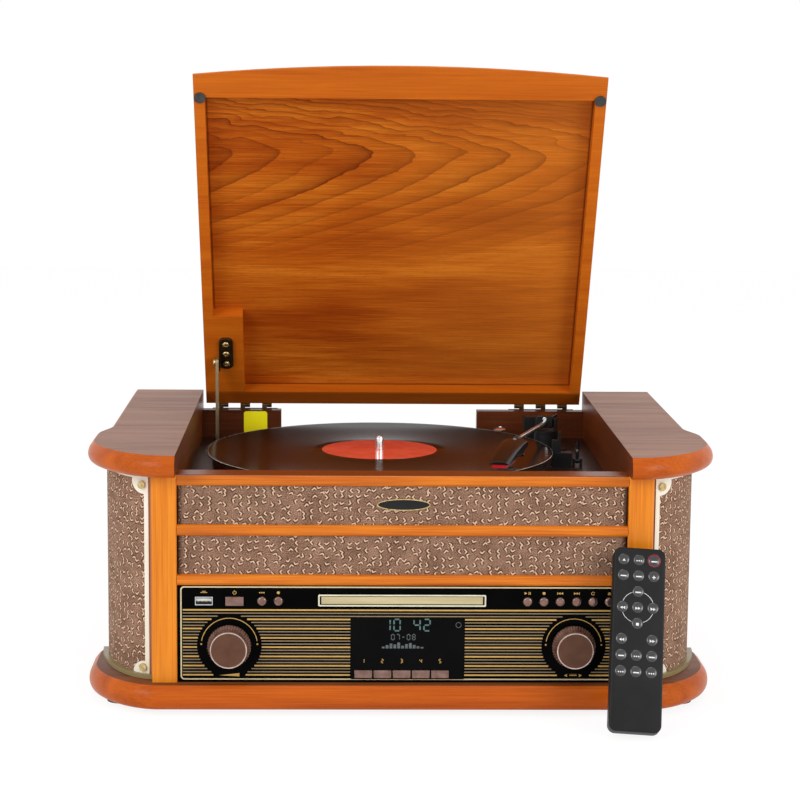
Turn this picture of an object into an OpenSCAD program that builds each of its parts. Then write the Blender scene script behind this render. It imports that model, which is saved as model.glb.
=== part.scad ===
// Stereo music centre: wooden cabinet, record deck under a hinged lid, disc tray,
// display, radio and volume knobs, curved speaker grilles, and its hand remote.
// The parts are drawn in cabinet coordinates (X to the right, Y to the back with 0 at the
// front of the posts, Z up from the table) and then moved onto the centre of the footprint.

/* [Cabinet] */
// Clear width of the record well, between the two wing boards
well_w = 359.2; // [350:1:370]
// Depth from the front of the posts to the back panel's outer face
cabinet_d = 352.6; // [345:1:365]
// Height of the top face of the wing boards above the table
cabinet_h = 211.1; // [205:1:216]
// Thickness of the wing boards
wing_t = 17.6; // [16:0.2:19]
// Half width of the wing boards at the widest point of the flare
flare_half_w = 250.4; // [248:0.5:253]
// How much narrower each side is behind the flare
flare_step = 8.9; // [6:0.1:10]
// How far the wing boards reach in front of the posts
wing_overhang = 15.7; // [12:0.5:18]
// How far the rounded edge of a wing board swells out
wing_bulge = 5.2; // [3:0.2:6]
// Thickness of the base board
base_t = 19.3; // [17:0.1:21]
// How far the base board reaches in front of the posts
base_overhang = 8; // [6:0.5:10]
// How far the rounded edge of the base board swells out
base_bulge = 6; // [4:0.5:7]
// Height of the rubber feet
foot_h = 5; // [3:0.5:8]
// Radius of the rubber feet
foot_r = 12.5; // [10:0.5:14]
// Width of the front posts
post_w = 20.2; // [18:0.2:22]
// Depth of the front posts
post_d = 26; // [24:0.5:28]
// Depth of the rails between the posts
rail_d = 24; // [20:0.5:24]
// Height of one rail
rail_h = 9.1; // [7.5:0.1:9.4]
// Height of the fascia's opening between base and lower rail
fascia_h = 78.9; // [76:0.1:82]
// Thickness of the side walls and of the back panel
wall_t = 12; // [9:0.5:13]
// Thickness of the boards that line the record well
lining_t = 9; // [6:0.5:10]

/* [Record deck] */
// Depth of the deck plate's top face below the wing boards' top
deck_drop = 43.1; // [42:0.1:50]
// Thickness of the deck plate
deck_t = 4; // [3:0.5:5]
// Sideways place of the spindle
spindle_x = -16; // [-18:0.5:-14]
// Distance of the spindle behind the front of the posts
spindle_y = 178; // [177:0.5:182]
// Radius of the spindle's free end, over the record
spindle_r = 3.55; // [3.5:0.01:3.6]
// Radius of the spindle in its bearing
bearing_r = 3; // [2.5:0.05:3.3]
// Height of the spindle above the record
spindle_rise = 12.3; // [8:0.1:14]
// Radius of a long-playing record
record_r = 150.8; // [150.8:0.1:151]
// Thickness of the record
record_t = 1.9; // [1.4:0.1:2.2]
// Radius of the platter
platter_r = 145; // [135:0.5:147]
// Height of the platter's top above the deck plate
platter_lift = 14.3; // [13:0.1:15]
// Radius of the ring under the platter that the belt drives
belt_ring_r = 92; // [85:1:96]
// Radius of the motor pulley
pulley_r = 5.75; // [5:0.05:7]
// Distance from the spindle to the motor shaft
motor_reach = 118; // [112:1:122]
// Radial clearance of shafts in their bearings
running_gap = 0.05; // [0.03:0.01:0.1]

/* [Tonearm] */
// Sideways place of the tonearm's upright
arm_x = 138; // [136:0.5:140]
// Distance of the tonearm's upright behind the front of the posts
arm_y = 270; // [268:0.5:274]
// Length from the tonearm's upright to the stylus
arm_len = 194.7; // [190:0.1:196]
// Angle between the arm and the front-to-back line, with the stylus on the record
arm_heading = 16.4; // [14:0.1:18]
// Height of the arm's lifting axle above the record
arm_axle_rise = 10.3; // [10:0.1:11.5]
// Radius of the arm tube
arm_tube_r = 2; // [1.8:0.1:2.4]

/* [Lid] */
// Gap between the lid and the wing boards, each side
lid_side_gap = 2.8; // [2.5:0.1:5]
// How far the lid's side edges reach in front of the posts
lid_overhang = 3; // [1:0.1:4]
// How far the front edge bows out at the middle
lid_bow = 9.5; // [6:0.5:11]
// Depth of the lid's wooden frame
lid_frame_h = 12; // [11:0.5:14]
// Thickness of the lid's top board
lid_panel_t = 4; // [3:0.5:5]
// Width of the lid's side rails
lid_side_rail = 9.3; // [7:0.1:12]
// Width of the lid's rear rail
lid_rear_rail = 14; // [12:0.5:18]
// Width of the lid's front rail at its ends
lid_front_rail = 22; // [18:0.5:26]
// Opening angle at which the stay holds the lid
lid_open = 60; // [50:1:62]
// Length of one hinge
hinge_len = 61.5; // [55:0.5:63]
// Radius of the hinge knuckles
knuckle_r = 2.4; // [2:0.1:2.4]
// Radius of the hinge pins
hinge_pin_r = 1; // [0.8:0.1:1.3]

/* [Fascia] */
// Thickness of the fascia
fascia_t = 4; // [3:0.5:5]
// How far the fascia lies behind the front of the posts
fascia_set = 1.5; // [1:0.1:3]
// Distance of each knob from the middle of the fascia
knob_x = 138; // [134:0.5:140]
// Height of the knob centres above the table
knob_z = 54.4; // [52:0.2:58]
// Radius of a knob at its foot
knob_r = 17.6; // [15:0.2:18]
// How far a knob stands out from the fascia
knob_reach = 16; // [12:0.5:18]
// Radius of the knob shafts
knob_shaft_r = 3; // [2.5:0.1:3.2]
// Height of the upper row of controls above the table
key_row_z = 91; // [90:0.2:91.6]
// Radius of the round buttons
round_key_r = 3.8; // [3.2:0.1:4.2]
// Distance between the round buttons
round_key_pitch = 13.1; // [12:0.1:13.2]
// Width of the display window
display_w = 91; // [86:1:92]
// Height of the display window's top edge above the table
display_top_z = 77.6; // [75:0.2:78]
// Distance between the five keys under the display
flat_key_pitch = 15.4; // [15:0.1:15.6]
// Width of the disc tray's front bar
tray_w = 129.2; // [124:0.2:132]
// Height of the disc tray's front bar
tray_h = 6; // [5:0.2:6.4]
// Clearance round buttons and tray in the fascia
key_gap = 0.3; // [0.2:0.05:0.4]
// Travel of a push button
key_travel = 1.5; // [1:0.1:1.8]

/* [Remote] */
// Width of the remote
remote_w = 41; // [36:0.5:42]
// Length of the remote
remote_len = 146.5; // [142:0.5:150]
// Thickness of the remote
remote_t = 15; // [12:0.5:15]
// Angle at which the remote leans back
remote_lean = 26.8; // [25:0.1:29]
// Angle by which the remote is turned in its own plane
remote_roll = 3.8; // [2:0.1:5]
// Sideways place of the remote's foot
remote_x = 178; // [176:0.5:181]
// Distance of the remote's foot in front of the posts
remote_y = -66.6; // [-72:0.1:-66]
// Radius of the remote's keys
remote_key_r = 4.6; // [3.8:0.1:4.8]
// Distance between rows of keys on the remote
remote_row = 12.8; // [12:0.1:13]
// Distance between columns of keys on the remote
remote_column = 12; // [11:0.1:12.4]

/* [Hidden] */

// Seats between pieces that are glued or screwed together
seat = 0.1;
// Free space round pieces that move past each other
clear = 0.3;
round_fn = 48;

// Levels, from the table up
base_top = foot_h + base_t;
wing_under = cabinet_h - wing_t;
rail_gap = 0.4;
rail_top = wing_under - rail_gap;
lower_rail_z = base_top + fascia_h;
cloth_h = (rail_top - lower_rail_z - 3 * rail_h) / 2;
middle_rail_z = lower_rail_z + rail_h + cloth_h;
upper_rail_z = rail_top - rail_h;
deck_z = cabinet_h - deck_drop;
well_half = well_w / 2;
post_out = well_half + post_w;
rear_half_w = flare_half_w - flare_step;
back_in = cabinet_d - wall_t;

// Plan curves of base, wings and grilles
corner_fullness = 1.75;
corner_steps = 24;
flare_steps = 10;
flare_start = 92;
flare_end = 134;
corner_y = 62;
grille_inset = 6.5;
grille_t = 3;
grille_start = post_d / 2;
grille_end = 98;
grille_half_w = flare_half_w - grille_inset;
wall_out = rear_half_w - grille_inset;

function corner_curve(x, y, a, b) = [for (i = [0:corner_steps])
    let (turn = 90 * i / corner_steps)
    [x + a * pow(sin(turn), 2 / corner_fullness), y - b * pow(cos(turn), 2 / corner_fullness)]];

function flare_curve(wide, narrow) = [for (i = [1:flare_steps])
    let (part = i / flare_steps)
    [wide + (narrow - wide) * (1 - cos(180 * part)) / 2,
     flare_start + (flare_end - flare_start) * part]];

// Right-hand edge of a board, from its straight front to its back corner
function board_edge(corner_x, front, wide, narrow, grow) = concat(
    corner_curve(corner_x, corner_y, wide - corner_x + grow, corner_y - front + grow),
    [[wide + grow, flare_start]],
    flare_curve(wide + grow, narrow + grow),
    [[narrow + grow, cabinet_d]]);

function mirrored(points) = [for (i = [len(points) - 1:-1:0]) [-points[i][0], points[i][1]]];

// Closed skin through rings of equal point count, given from the lowest up
module lofted(rings, levels) {
    count = len(rings[0]);
    last = len(rings) - 1;
    points = [for (r = [0:last]) for (p = rings[r]) [p[0], p[1], levels[r]]];
    sides = [for (r = [0:last - 1]) for (i = [0:count - 1])
        let (a = r * count + i, b = r * count + (i + 1) % count)
        each [[a, a + count, b + count], [a, b + count, b]]];
    lid_face = [for (i = [count - 1:-1:0]) last * count + i];
    polyhedron(points = points, faces = concat([[for (i = [0:count - 1]) i]], sides, [lid_face]));
}

// Edge profiles: share of the thickness, share of the swelling
wing_profile = [[0, -0.1], [0.07, 0.4], [0.2, 0.82], [0.42, 1], [0.68, 0.8], [0.9, 0.3], [1, 0]];
base_profile = [[0, 0.35], [0.08, 0.7], [0.25, 0.95], [0.46, 1], [0.72, 0.8], [0.92, 0.32], [1, 0]];
wing_corner_in = 14.8;
base_corner_in = 4.8;
wing_corner_x = post_out - wing_corner_in;
base_corner_x = post_out - base_corner_in;
base_half_w = flare_half_w + seat;

function wing_outline(grow) = concat([[well_half, -wing_overhang - grow]],
    board_edge(wing_corner_x, -wing_overhang, flare_half_w, rear_half_w, grow),
    [[well_half, cabinet_d]]);

function base_outline(grow) = let (
    half = board_edge(base_corner_x, -base_overhang, base_half_w, rear_half_w, grow))
    concat(half, mirrored(half));

// Lid hinge and the frame that turns with the lid
lid_rear_in = 0.6;
lid_rear_y = cabinet_d - lid_rear_in;
lid_half_w = well_half - lid_side_gap;
bumper_h = 1.6;
lid_under = rail_top + clear + bumper_h;
lid_top = lid_under + lid_frame_h + lid_panel_t;
hinge_y = cabinet_d + knuckle_r;
hinge_rise = 3.1;
hinge_z = wing_under + hinge_rise;
leaf_t = 1.2;
leaf_h = 12;
bow_r = (pow(lid_half_w, 2) + pow(lid_bow, 2)) / (2 * lid_bow);
lid_front_y = -lid_overhang;
lid_len = lid_rear_y - lid_front_y;

module lid_pose() {
    set_frame() translate([0, hinge_y, hinge_z]) rotate([-lid_open, 0, 0])
        translate([0, -hinge_y, -hinge_z]) children();
}

// A point of the closed lid, turned with it to the open position
function opened(y, z) = [
    hinge_y + (y - hinge_y) * cos(lid_open) + (z - hinge_z) * sin(lid_open),
    hinge_z - (y - hinge_y) * sin(lid_open) + (z - hinge_z) * cos(lid_open)];

// Stay: pivot on the closed lid, and its place with the lid open
stay_x = -164.8;
stay_w = 2.8;
stay_depth = 9;
stay_reach = 52.7;
stay_drop = 5.5;
stay_pin_r = 2;
stay_closed_y = lid_rear_y - stay_reach;
stay_closed_z = lid_under - stay_drop;
stay_pivot = opened(stay_closed_y, stay_closed_z);
stay_reach_down = 58;
stay_len = stay_pivot[1] - deck_z + stay_reach_down;

// Remote pose
remote_corner_r = 6;
remote_clear = 0.3;
remote_foot_z = remote_clear + remote_t * sin(remote_lean)
    + (remote_w / 2 - remote_corner_r * 0.3) * sin(remote_roll) * cos(remote_lean);

// The set's footprint runs from the remote's foot to the upper hinge leaves
footprint_front = remote_y - remote_t * cos(remote_lean);
footprint_back = opened(lid_rear_y + leaf_t, lid_top)[0];
footprint_mid = (footprint_front + footprint_back) / 2;

module set_frame() translate([0, -footprint_mid, 0]) children();

// Plate in the XZ plane, from the depth y backwards
module upright(y, t) translate([0, y + t, 0]) rotate([90, 0, 0]) linear_extrude(t) children();

// Round bar along Y, from depth y0 to y1
module bar_y(x, z, r, y0, y1, fn = round_fn) translate([x, y1, z]) rotate([90, 0, 0])
    cylinder(h = y1 - y0, r = r, $fn = fn);

// Round bar along X
module bar_x(x0, x1, y, z, r, fn = round_fn) translate([x0, y, z]) rotate([0, 90, 0])
    cylinder(h = x1 - x0, r = r, $fn = fn);

// Upright round bar
module bar_z(x, y, r, z0, z1, fn = round_fn) translate([x, y, z0])
    cylinder(h = z1 - z0, r = r, $fn = fn);

// Block between two corners
module block(low, high) translate(low) cube([high[0] - low[0], high[1] - low[1], high[2] - low[2]]);

// Flat rectangle with round corners
module soft_rect(low, high, r) {
    translate([low[0] + r, low[1]]) square([high[0] - low[0] - 2 * r, high[1] - low[1]]);
    translate([low[0], low[1] + r]) square([high[0] - low[0], high[1] - low[1] - 2 * r]);
    for (x = [low[0] + r, high[0] - r], y = [low[1] + r, high[1] - r])
        translate([x, y]) circle(r = r, $fn = round_fn);
}

// Both sides of the cabinet
module pair() {
    children();
    mirror([1, 0, 0]) children();
}

// ---- Cabinet ----

module base_plinth() color("chocolate") set_frame() lofted(
    [for (p = base_profile) base_outline(p[1] * base_bulge)],
    [for (p = base_profile) foot_h + p[0] * base_t]);

foot_in = 23.4;
foot_x = flare_half_w - foot_in;
foot_front_y = 36;
foot_back_y = cabinet_d - foot_front_y;
foot_back_x = rear_half_w - 2 * foot_r;

module feet() color("dimgray") set_frame() pair() {
    bar_z(foot_x, foot_front_y, foot_r, 0, foot_h);
    bar_z(foot_back_x, foot_back_y, foot_r, 0, foot_h);
}

post_round = 1.5;
rail_round = 4;

module front_rail(z) translate([-well_half + seat, 0, z]) rotate([90, 0, 90])
    linear_extrude(well_w - 2 * seat) {
        translate([rail_round, 0]) square([rail_d - rail_round, rail_h]);
        translate([0, rail_round]) square([rail_round, rail_h - 2 * rail_round]);
        for (h = [rail_round, rail_h - rail_round])
            translate([rail_round, h]) circle(r = rail_round, $fn = round_fn);
    }

module front_post() translate([0, 0, base_top]) linear_extrude(wing_under - base_top) {
    translate([well_half, post_round]) square([post_w, post_d - post_round]);
    translate([well_half + post_round, 0]) square([post_w - 2 * post_round, post_round]);
    for (x = [well_half + post_round, post_out - post_round])
        translate([x, post_round]) circle(r = post_round, $fn = round_fn);
}

module front_frame() color("peru") set_frame() {
    pair() front_post();
    for (z = [lower_rail_z, middle_rail_z, upper_rail_z]) front_rail(z);
}

cloth_set = 4;
cloth_t = 5;
cloth_gap = 1.2;

module front_grilles() color("rosybrown") set_frame()
    for (z = [lower_rail_z + rail_h, middle_rail_z + rail_h])
        block([-well_half + cloth_gap, cloth_set, z],
              [well_half - cloth_gap, cloth_set + cloth_t, z + cloth_h]);

// Curved plan line of the grille, grown outwards
function grille_line(grow) = corner_curve(post_out, grille_end,
    grille_half_w - post_out + grow, grille_end - grille_start + grow);

function reversed(points) = [for (i = [len(points) - 1:-1:0]) points[i]];

module curved_panel(inner, outer, z0, z1) translate([0, 0, z0]) linear_extrude(z1 - z0)
    polygon(concat(grille_line(outer), reversed(grille_line(inner))));

module side_grille() difference() {
    curved_panel(-grille_t, 0, base_top + clear, wing_under - clear);
    translate([post_out - grille_t, 0, 0]) cube([grille_t + seat, grille_end, cabinet_h]);
}

module side_grille_left() color("rosybrown") set_frame() mirror([1, 0, 0]) side_grille();
module side_grille_right() color("rosybrown") set_frame() side_grille();

trim_t = 1.5;
trim_w = 6.5;
trim_rim = 4;
trim_top_rim = 5.8;
trim_foot = 3;
trim_rebate_w = 2.9;
trim_rebate_floor = 0.5;
ear_r = 10;
ear_drop = 8.2;

// Cream frame round one grille: a rebate beside the post, a wider foot along the base board and
// a round ear at each front corner
module grille_trim() difference() {
    union() {
        curved_panel(seat, trim_t, base_top + clear, wing_under - clear);
        curved_panel(seat, trim_t + trim_foot, base_top + clear, base_top + trim_rim);
    }
    translate([post_out - trim_w, 0, 0]) cube([trim_w + seat, grille_start + trim_w, cabinet_h]);
    intersection() {
        curved_panel(trim_rebate_floor, trim_t + 1, base_top + trim_rim, cabinet_h);
        translate([post_out, 0, 0]) cube([trim_rebate_w, grille_end, 2 * cabinet_h]);
    }
    upright(0, grille_end + trim_t) difference() {
        translate([post_out + trim_w, base_top + trim_rim])
            square([flare_half_w - post_out,
                wing_under - base_top - trim_rim - trim_top_rim]);
        for (z = [base_top + trim_rim, wing_under - ear_drop])
            translate([post_out + trim_w, z]) circle(r = ear_r, $fn = round_fn);
    }
}

module grille_trims() color("antiquewhite") set_frame() pair() grille_trim();

// Side wall with the slanting baffle that holds the loudspeaker
baffle_t = 8;
baffle_back = 104;
driver_r = 36;
driver_hole_r = 33;
wall_in = wall_out - wall_t;
baffle_turn = atan((wall_in - post_out) / (baffle_back - post_d));
driver_x = (post_out + wall_in) / 2;
driver_y = (post_d + baffle_back) / 2;
driver_z = (base_top + wing_under) / 2;

// Places children on the baffle's inner face, with +Z pointing into the cabinet
module on_baffle() translate([driver_x, driver_y, driver_z])
    rotate([0, 0, -baffle_turn]) rotate([0, -90, 0]) children();

module side_wall() difference() {
    translate([0, 0, base_top]) linear_extrude(wing_under - base_top) polygon(concat(
        [[post_out + seat, post_d], [post_out + seat + baffle_t, post_d - seat],
         [wall_in + baffle_t, grille_end + seat], [grille_half_w, grille_end + seat]],
        [for (p = flare_curve(grille_half_w, wall_out)) if (p[1] > grille_end + 1) p],
        [[wall_out, cabinet_d], [wall_in, cabinet_d], [wall_in, baffle_back]]));
    on_baffle() translate([0, 0, -3 * baffle_t]) cylinder(h = 4 * baffle_t, r = driver_hole_r,
        $fn = round_fn);
}

module side_wall_left() color("saddlebrown") set_frame() mirror([1, 0, 0]) side_wall();
module side_wall_right() color("saddlebrown") set_frame() side_wall();

module well_walls() color("saddlebrown") set_frame() pair()
    block([well_half, post_d, base_top], [well_half + lining_t, back_in, wing_under]);

module wing() lofted([for (p = wing_profile) wing_outline(p[1] * wing_bulge)],
    [for (p = wing_profile) wing_under + p[0] * wing_t]);

module wing_left() color("chocolate") set_frame() mirror([1, 0, 0]) wing();
module wing_right() color("chocolate") set_frame() wing();

notch_left = -105.9;
notch_right = 78.8;
notch_rise = 4;
notch_z = deck_z + notch_rise;
panel_gap_w = 118;
panel_gap_rise = 37.7;
panel_gap_h = 42;
panel_gap_low = base_top + panel_gap_rise;
panel_gap_high = panel_gap_low + panel_gap_h;

module back_panel() color("saddlebrown") set_frame() difference() {
    block([-wall_in + seat, back_in, base_top], [wall_in - seat, cabinet_d, wing_under]);
    translate([notch_left, back_in - 1, notch_z])
        cube([notch_right - notch_left, wall_t + 2, wing_under]);
    block([-panel_gap_w / 2, back_in - 1, panel_gap_low],
          [panel_gap_w / 2, cabinet_d + 1, panel_gap_high]);
}

// Connector plate over the opening in the back panel
plate_t = 2.5;
plate_rim = 6;
jack_r = 4.15;
jack_hole_r = 1.75;
jack_len = 9;
jack_x = -34;
jack_pitch = 16;
jack_z = (panel_gap_low + panel_gap_high) / 2;
inlet_x = 30;
inlet_w = 20;
inlet_h = 11;
inlet_depth = 12;
inlet_wall = 2;
inlet_pin_r = 1.2;
inlet_pin_pitch = 8.6;

module jack_panel() color("darkslategray") set_frame() {
    difference() {
        union() {
            block([-panel_gap_w / 2 - plate_rim, cabinet_d, panel_gap_low - plate_rim],
                  [panel_gap_w / 2 + plate_rim, cabinet_d + plate_t, panel_gap_high + plate_rim]);
            block([inlet_x - inlet_w / 2 - inlet_wall, cabinet_d - inlet_depth,
                   jack_z - inlet_h / 2 - inlet_wall],
                  [inlet_x + inlet_w / 2 + inlet_wall, cabinet_d,
                   jack_z + inlet_h / 2 + inlet_wall]);
        }
        block([inlet_x - inlet_w / 2, cabinet_d - inlet_depth + inlet_wall, jack_z - inlet_h / 2],
              [inlet_x + inlet_w / 2, cabinet_d + plate_t + 1, jack_z + inlet_h / 2]);
    }
    for (side = [-1, 1]) bar_y(inlet_x + side * inlet_pin_pitch / 2, jack_z, inlet_pin_r,
        cabinet_d - inlet_depth + inlet_wall, cabinet_d);
    for (i = [0:1]) difference() {
        bar_y(jack_x + i * jack_pitch, jack_z, jack_r, cabinet_d + plate_t,
            cabinet_d + plate_t + jack_len);
        bar_y(jack_x + i * jack_pitch, jack_z, jack_hole_r, cabinet_d + plate_t + 1,
            cabinet_d + plate_t + jack_len + 1);
    }
}

// ---- Record deck ----

bearing_h = 14;
bearing_wall = 5;
motor_turn = 135;
motor_x = spindle_x + motor_reach * cos(motor_turn);
motor_y = spindle_y + motor_reach * sin(motor_turn);
motor_hole_r = 12;
arm_shaft_r = 3;
arm_socket_r = 7;
stay_slot_side = 2;
stay_slot_front = stay_closed_y - stay_depth / 2 - stay_slot_side;
stay_slot_back = stay_pivot[0] + stay_depth / 2 + stay_slot_side;

module deck_plate() color("dimgray") set_frame() difference() {
    union() {
        block([-well_half, post_d, deck_z - deck_t], [well_half, back_in, deck_z]);
        bar_z(spindle_x, spindle_y, bearing_r + bearing_wall, deck_z - bearing_h, deck_z);
    }
    bar_z(spindle_x, spindle_y, bearing_r + running_gap, deck_z - bearing_h - 1, deck_z + 1);
    bar_z(motor_x, motor_y, motor_hole_r, deck_z - deck_t - 1, deck_z + 1);
    bar_z(arm_x, arm_y, arm_socket_r + seat, deck_z - deck_t - 1, deck_z + 1);
    block([stay_x - stay_w / 2 - stay_slot_side, stay_slot_front, deck_z - deck_t - 1],
          [stay_x + stay_w / 2 + stay_slot_side, stay_slot_back, deck_z + 1]);
}

platter_top = deck_z + platter_lift;
platter_skin = 3;
platter_rim_t = 5;
platter_gap = 3;
platter_under = deck_z + platter_gap;
record_top = platter_top + record_t;
spindle_foot = deck_z - bearing_h + 1;
spindle_top = record_top + spindle_rise;
hub_wall = 4;

module platter() color("silver") set_frame() translate([spindle_x, spindle_y, 0])
    rotate_extrude($fn = 120) {
        translate([0, platter_top - platter_skin]) square([platter_r, platter_skin]);
        for (r = [platter_r, belt_ring_r])
            translate([r - platter_rim_t, platter_under])
                square([platter_rim_t, platter_top - platter_under - seat]);
        polygon([[0, spindle_foot], [bearing_r, spindle_foot], [bearing_r, platter_under],
            [spindle_r + hub_wall, platter_under], [spindle_r + hub_wall, platter_top - seat],
            [bearing_r, platter_top - seat], [bearing_r, record_top + seat],
            [spindle_r, record_top + seat], [spindle_r, spindle_top - 1],
            [spindle_r - 1, spindle_top], [0, spindle_top]]);
    }

module record() color("black") set_frame() difference() {
    bar_z(spindle_x, spindle_y, record_r, platter_top, record_top, 180);
    bar_z(spindle_x, spindle_y, spindle_r + seat, platter_top - 1, record_top + 1);
}

motor_r = 18;
motor_h = 26;
motor_shaft_r = 1;
pulley_h = 7;
pulley_rise = 0.5;
pulley_z = platter_under + pulley_rise;

module platter_motor() color("slategray") set_frame() {
    bar_z(motor_x, motor_y, motor_r, deck_z - deck_t - motor_h, deck_z - deck_t);
    bar_z(motor_x, motor_y, motor_shaft_r, deck_z - deck_t, pulley_z + pulley_h - 1);
}

module motor_pulley() color("goldenrod") set_frame() difference() {
    bar_z(motor_x, motor_y, pulley_r, pulley_z, pulley_z + pulley_h);
    bar_z(motor_x, motor_y, motor_shaft_r + running_gap, pulley_z - 1, pulley_z + pulley_h + 1);
}

belt_t = 0.8;
belt_h = 5;

module belt_path(grow) hull() {
    translate([spindle_x, spindle_y]) circle(r = belt_ring_r + grow, $fn = 96);
    translate([motor_x, motor_y]) circle(r = pulley_r + grow, $fn = 32);
}

module drive_belt() color("black") set_frame() translate([0, 0, pulley_z + 1])
    linear_extrude(belt_h) difference() {
        belt_path(clear + belt_t);
        belt_path(clear);
    }

// ---- Tonearm ----

arm_axle_z = record_top + arm_axle_rise;
arm_base_r = 18;
arm_column_r = 11;
column_over_record = 0.6;
arm_column_top = record_top + column_over_record;
yoke_floor = arm_column_top + clear;
yoke_floor_t = 2.2;
yoke_half_w = 9.5;
yoke_cheek_t = 1.6;
yoke_half_d = 5;
yoke_over_axle = 4;
arm_block_half_w = yoke_half_w - yoke_cheek_t - clear;
axle_r = 1.2;
rest_forward = 80;
rest_y = arm_y - rest_forward;
rest_under_axle = 3.2;
rest_stop_gap = 1.4;
rest_top = arm_axle_z - rest_under_axle;
rest_stop_x = arm_x + arm_tube_r + rest_stop_gap;
cue_right = 20.4;
cue_rise = 4.5;
cue_x = arm_x + cue_right;
cue_y = rest_y;
cue_z = deck_z + cue_rise;
cue_r = 1.4;
cue_len = 17.5;
cue_pin_r = 1;

// Lift bridge behind the upright, arm rest with its stop, and ears of the cue lever
bridge_left = 18.5;
bridge_right = 7;
bridge_front = 19;
bridge_back = 31;
bridge_over_axle = 1.5;
rest_foot_left = 2;
rest_foot_right = 15;
rest_foot_half_d = 6;
rest_foot_h = 12.5;
rest_half_d = 2.5;
rest_stop_w = 2;
rest_stop_h = 7;
cue_ear_x = 3.2;
cue_ear_t = 1.8;
cue_ear_half_d = 3;
cue_ear_rise = 2.6;
flange_h = 3;
socket_below = 6;

module tonearm_base() color("black") set_frame() {
    difference() {
        union() {
            bar_z(arm_x, arm_y, arm_base_r, deck_z, deck_z + flange_h);
            bar_z(arm_x, arm_y, arm_column_r, deck_z, arm_column_top);
            bar_z(arm_x, arm_y, arm_socket_r, deck_z - deck_t - socket_below, deck_z);
        }
        bar_z(arm_x, arm_y, arm_shaft_r + running_gap, deck_z - deck_t - socket_below - 1,
            arm_column_top + 1);
    }
    block([arm_x - bridge_left, arm_y + bridge_front, deck_z],
          [arm_x - bridge_right, arm_y + bridge_back, arm_axle_z + bridge_over_axle]);
    block([arm_x - rest_foot_left, rest_y - rest_foot_half_d, deck_z],
          [arm_x + rest_foot_right, rest_y + rest_foot_half_d, deck_z + rest_foot_h]);
    block([arm_x - rest_foot_left, rest_y - rest_half_d, deck_z + rest_foot_h],
          [rest_stop_x + rest_stop_w, rest_y + rest_half_d, rest_top]);
    block([rest_stop_x, rest_y - rest_half_d, rest_top],
          [rest_stop_x + rest_stop_w, rest_y + rest_half_d, rest_top + rest_stop_h]);
    for (side = [-1, 1]) difference() {
        block([cue_x + side * cue_ear_x - cue_ear_t / 2, cue_y - cue_ear_half_d, deck_z],
              [cue_x + side * cue_ear_x + cue_ear_t / 2, cue_y + cue_ear_half_d,
               cue_z + cue_ear_rise]);
        bar_x(cue_x - 2 * cue_ear_x, cue_x + 2 * cue_ear_x, cue_y, cue_z, cue_pin_r + running_gap);
    }
}

module at_arm() translate([arm_x, arm_y, 0]) rotate([0, 0, -arm_heading]) children();

module tonearm_yoke() color("black") set_frame() at_arm() {
    bar_z(0, 0, arm_shaft_r, deck_z - deck_t - socket_below + 1, yoke_floor);
    bar_z(0, 0, arm_column_r - 0.5, yoke_floor, yoke_floor + yoke_floor_t);
    for (side = [-1, 1]) difference() {
        block([side * yoke_half_w - (side > 0 ? yoke_cheek_t : 0), -yoke_half_d, yoke_floor],
              [side * yoke_half_w + (side > 0 ? 0 : yoke_cheek_t), yoke_half_d,
               arm_axle_z + yoke_over_axle]);
        bar_x(-yoke_half_w - 1, yoke_half_w + 1, 0, arm_axle_z, axle_r + running_gap);
    }
}

arm_rise = 2;
shell_start = 134;
shell_len = 67;
shell_end = shell_start + shell_len;
shell_rear_w = 21;
shell_nose_w = 17;
shell_grip = 6;
arm_block_front = -8;
arm_block_back = 13;
arm_block_drop = 4;
arm_block_rise = 7;
arm_block_low = arm_axle_z - arm_block_drop;
arm_block_high = arm_axle_z + arm_block_rise;
// Side outline of the headshell: shares of its length, and heights above the record
shell_side = [[0, 10], [0.27, 6.6], [1, 4.4], [1, 7], [0.6, 13], [0, 16.5]];

module tonearm_arm() color("black") set_frame() at_arm() {
    block([-arm_block_half_w, arm_block_front, arm_block_low],
          [arm_block_half_w, arm_block_back, arm_block_high]);
    bar_x(-yoke_half_w, yoke_half_w, 0, arm_axle_z, axle_r);
    translate([0, 0, arm_axle_z]) rotate([90 - arm_rise, 0, 0])
        cylinder(h = shell_start + shell_grip, r = arm_tube_r, $fn = round_fn);
    intersection() {
        translate([-shell_rear_w / 2, 0, record_top]) rotate([90, 0, 90])
            linear_extrude(shell_rear_w)
                polygon([for (p = shell_side) [-shell_start - p[0] * shell_len, p[1]]]);
        translate([0, 0, record_top]) linear_extrude(2 * shell_rear_w)
            polygon([[-shell_rear_w / 2, -shell_start], [shell_rear_w / 2, -shell_start],
                [shell_nose_w / 2, -shell_end], [-shell_nose_w / 2, -shell_end]]);
    }
}

cartridge_w = 12;
// Side outline of the cartridge: distance behind the headshell's nose, height above the record
cartridge_side = [[37, 1.8], [0.5, 1.6], [0.5, 4.3], [45, 6]];
stylus_h = 1.6;
stylus_r = 0.8;
stylus_tip_r = 0.25;

module cartridge() color("red") set_frame() at_arm() {
    translate([-cartridge_w / 2, 0, record_top]) rotate([90, 0, 90]) linear_extrude(cartridge_w)
        polygon([for (p = cartridge_side) [p[0] - shell_end, p[1]]]);
    translate([0, -arm_len, record_top + clear])
        cylinder(h = stylus_h, r1 = stylus_tip_r, r2 = stylus_r, $fn = 24);
}

cue_hub_r = 2;
cue_axle_half = 4.1;

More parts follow.
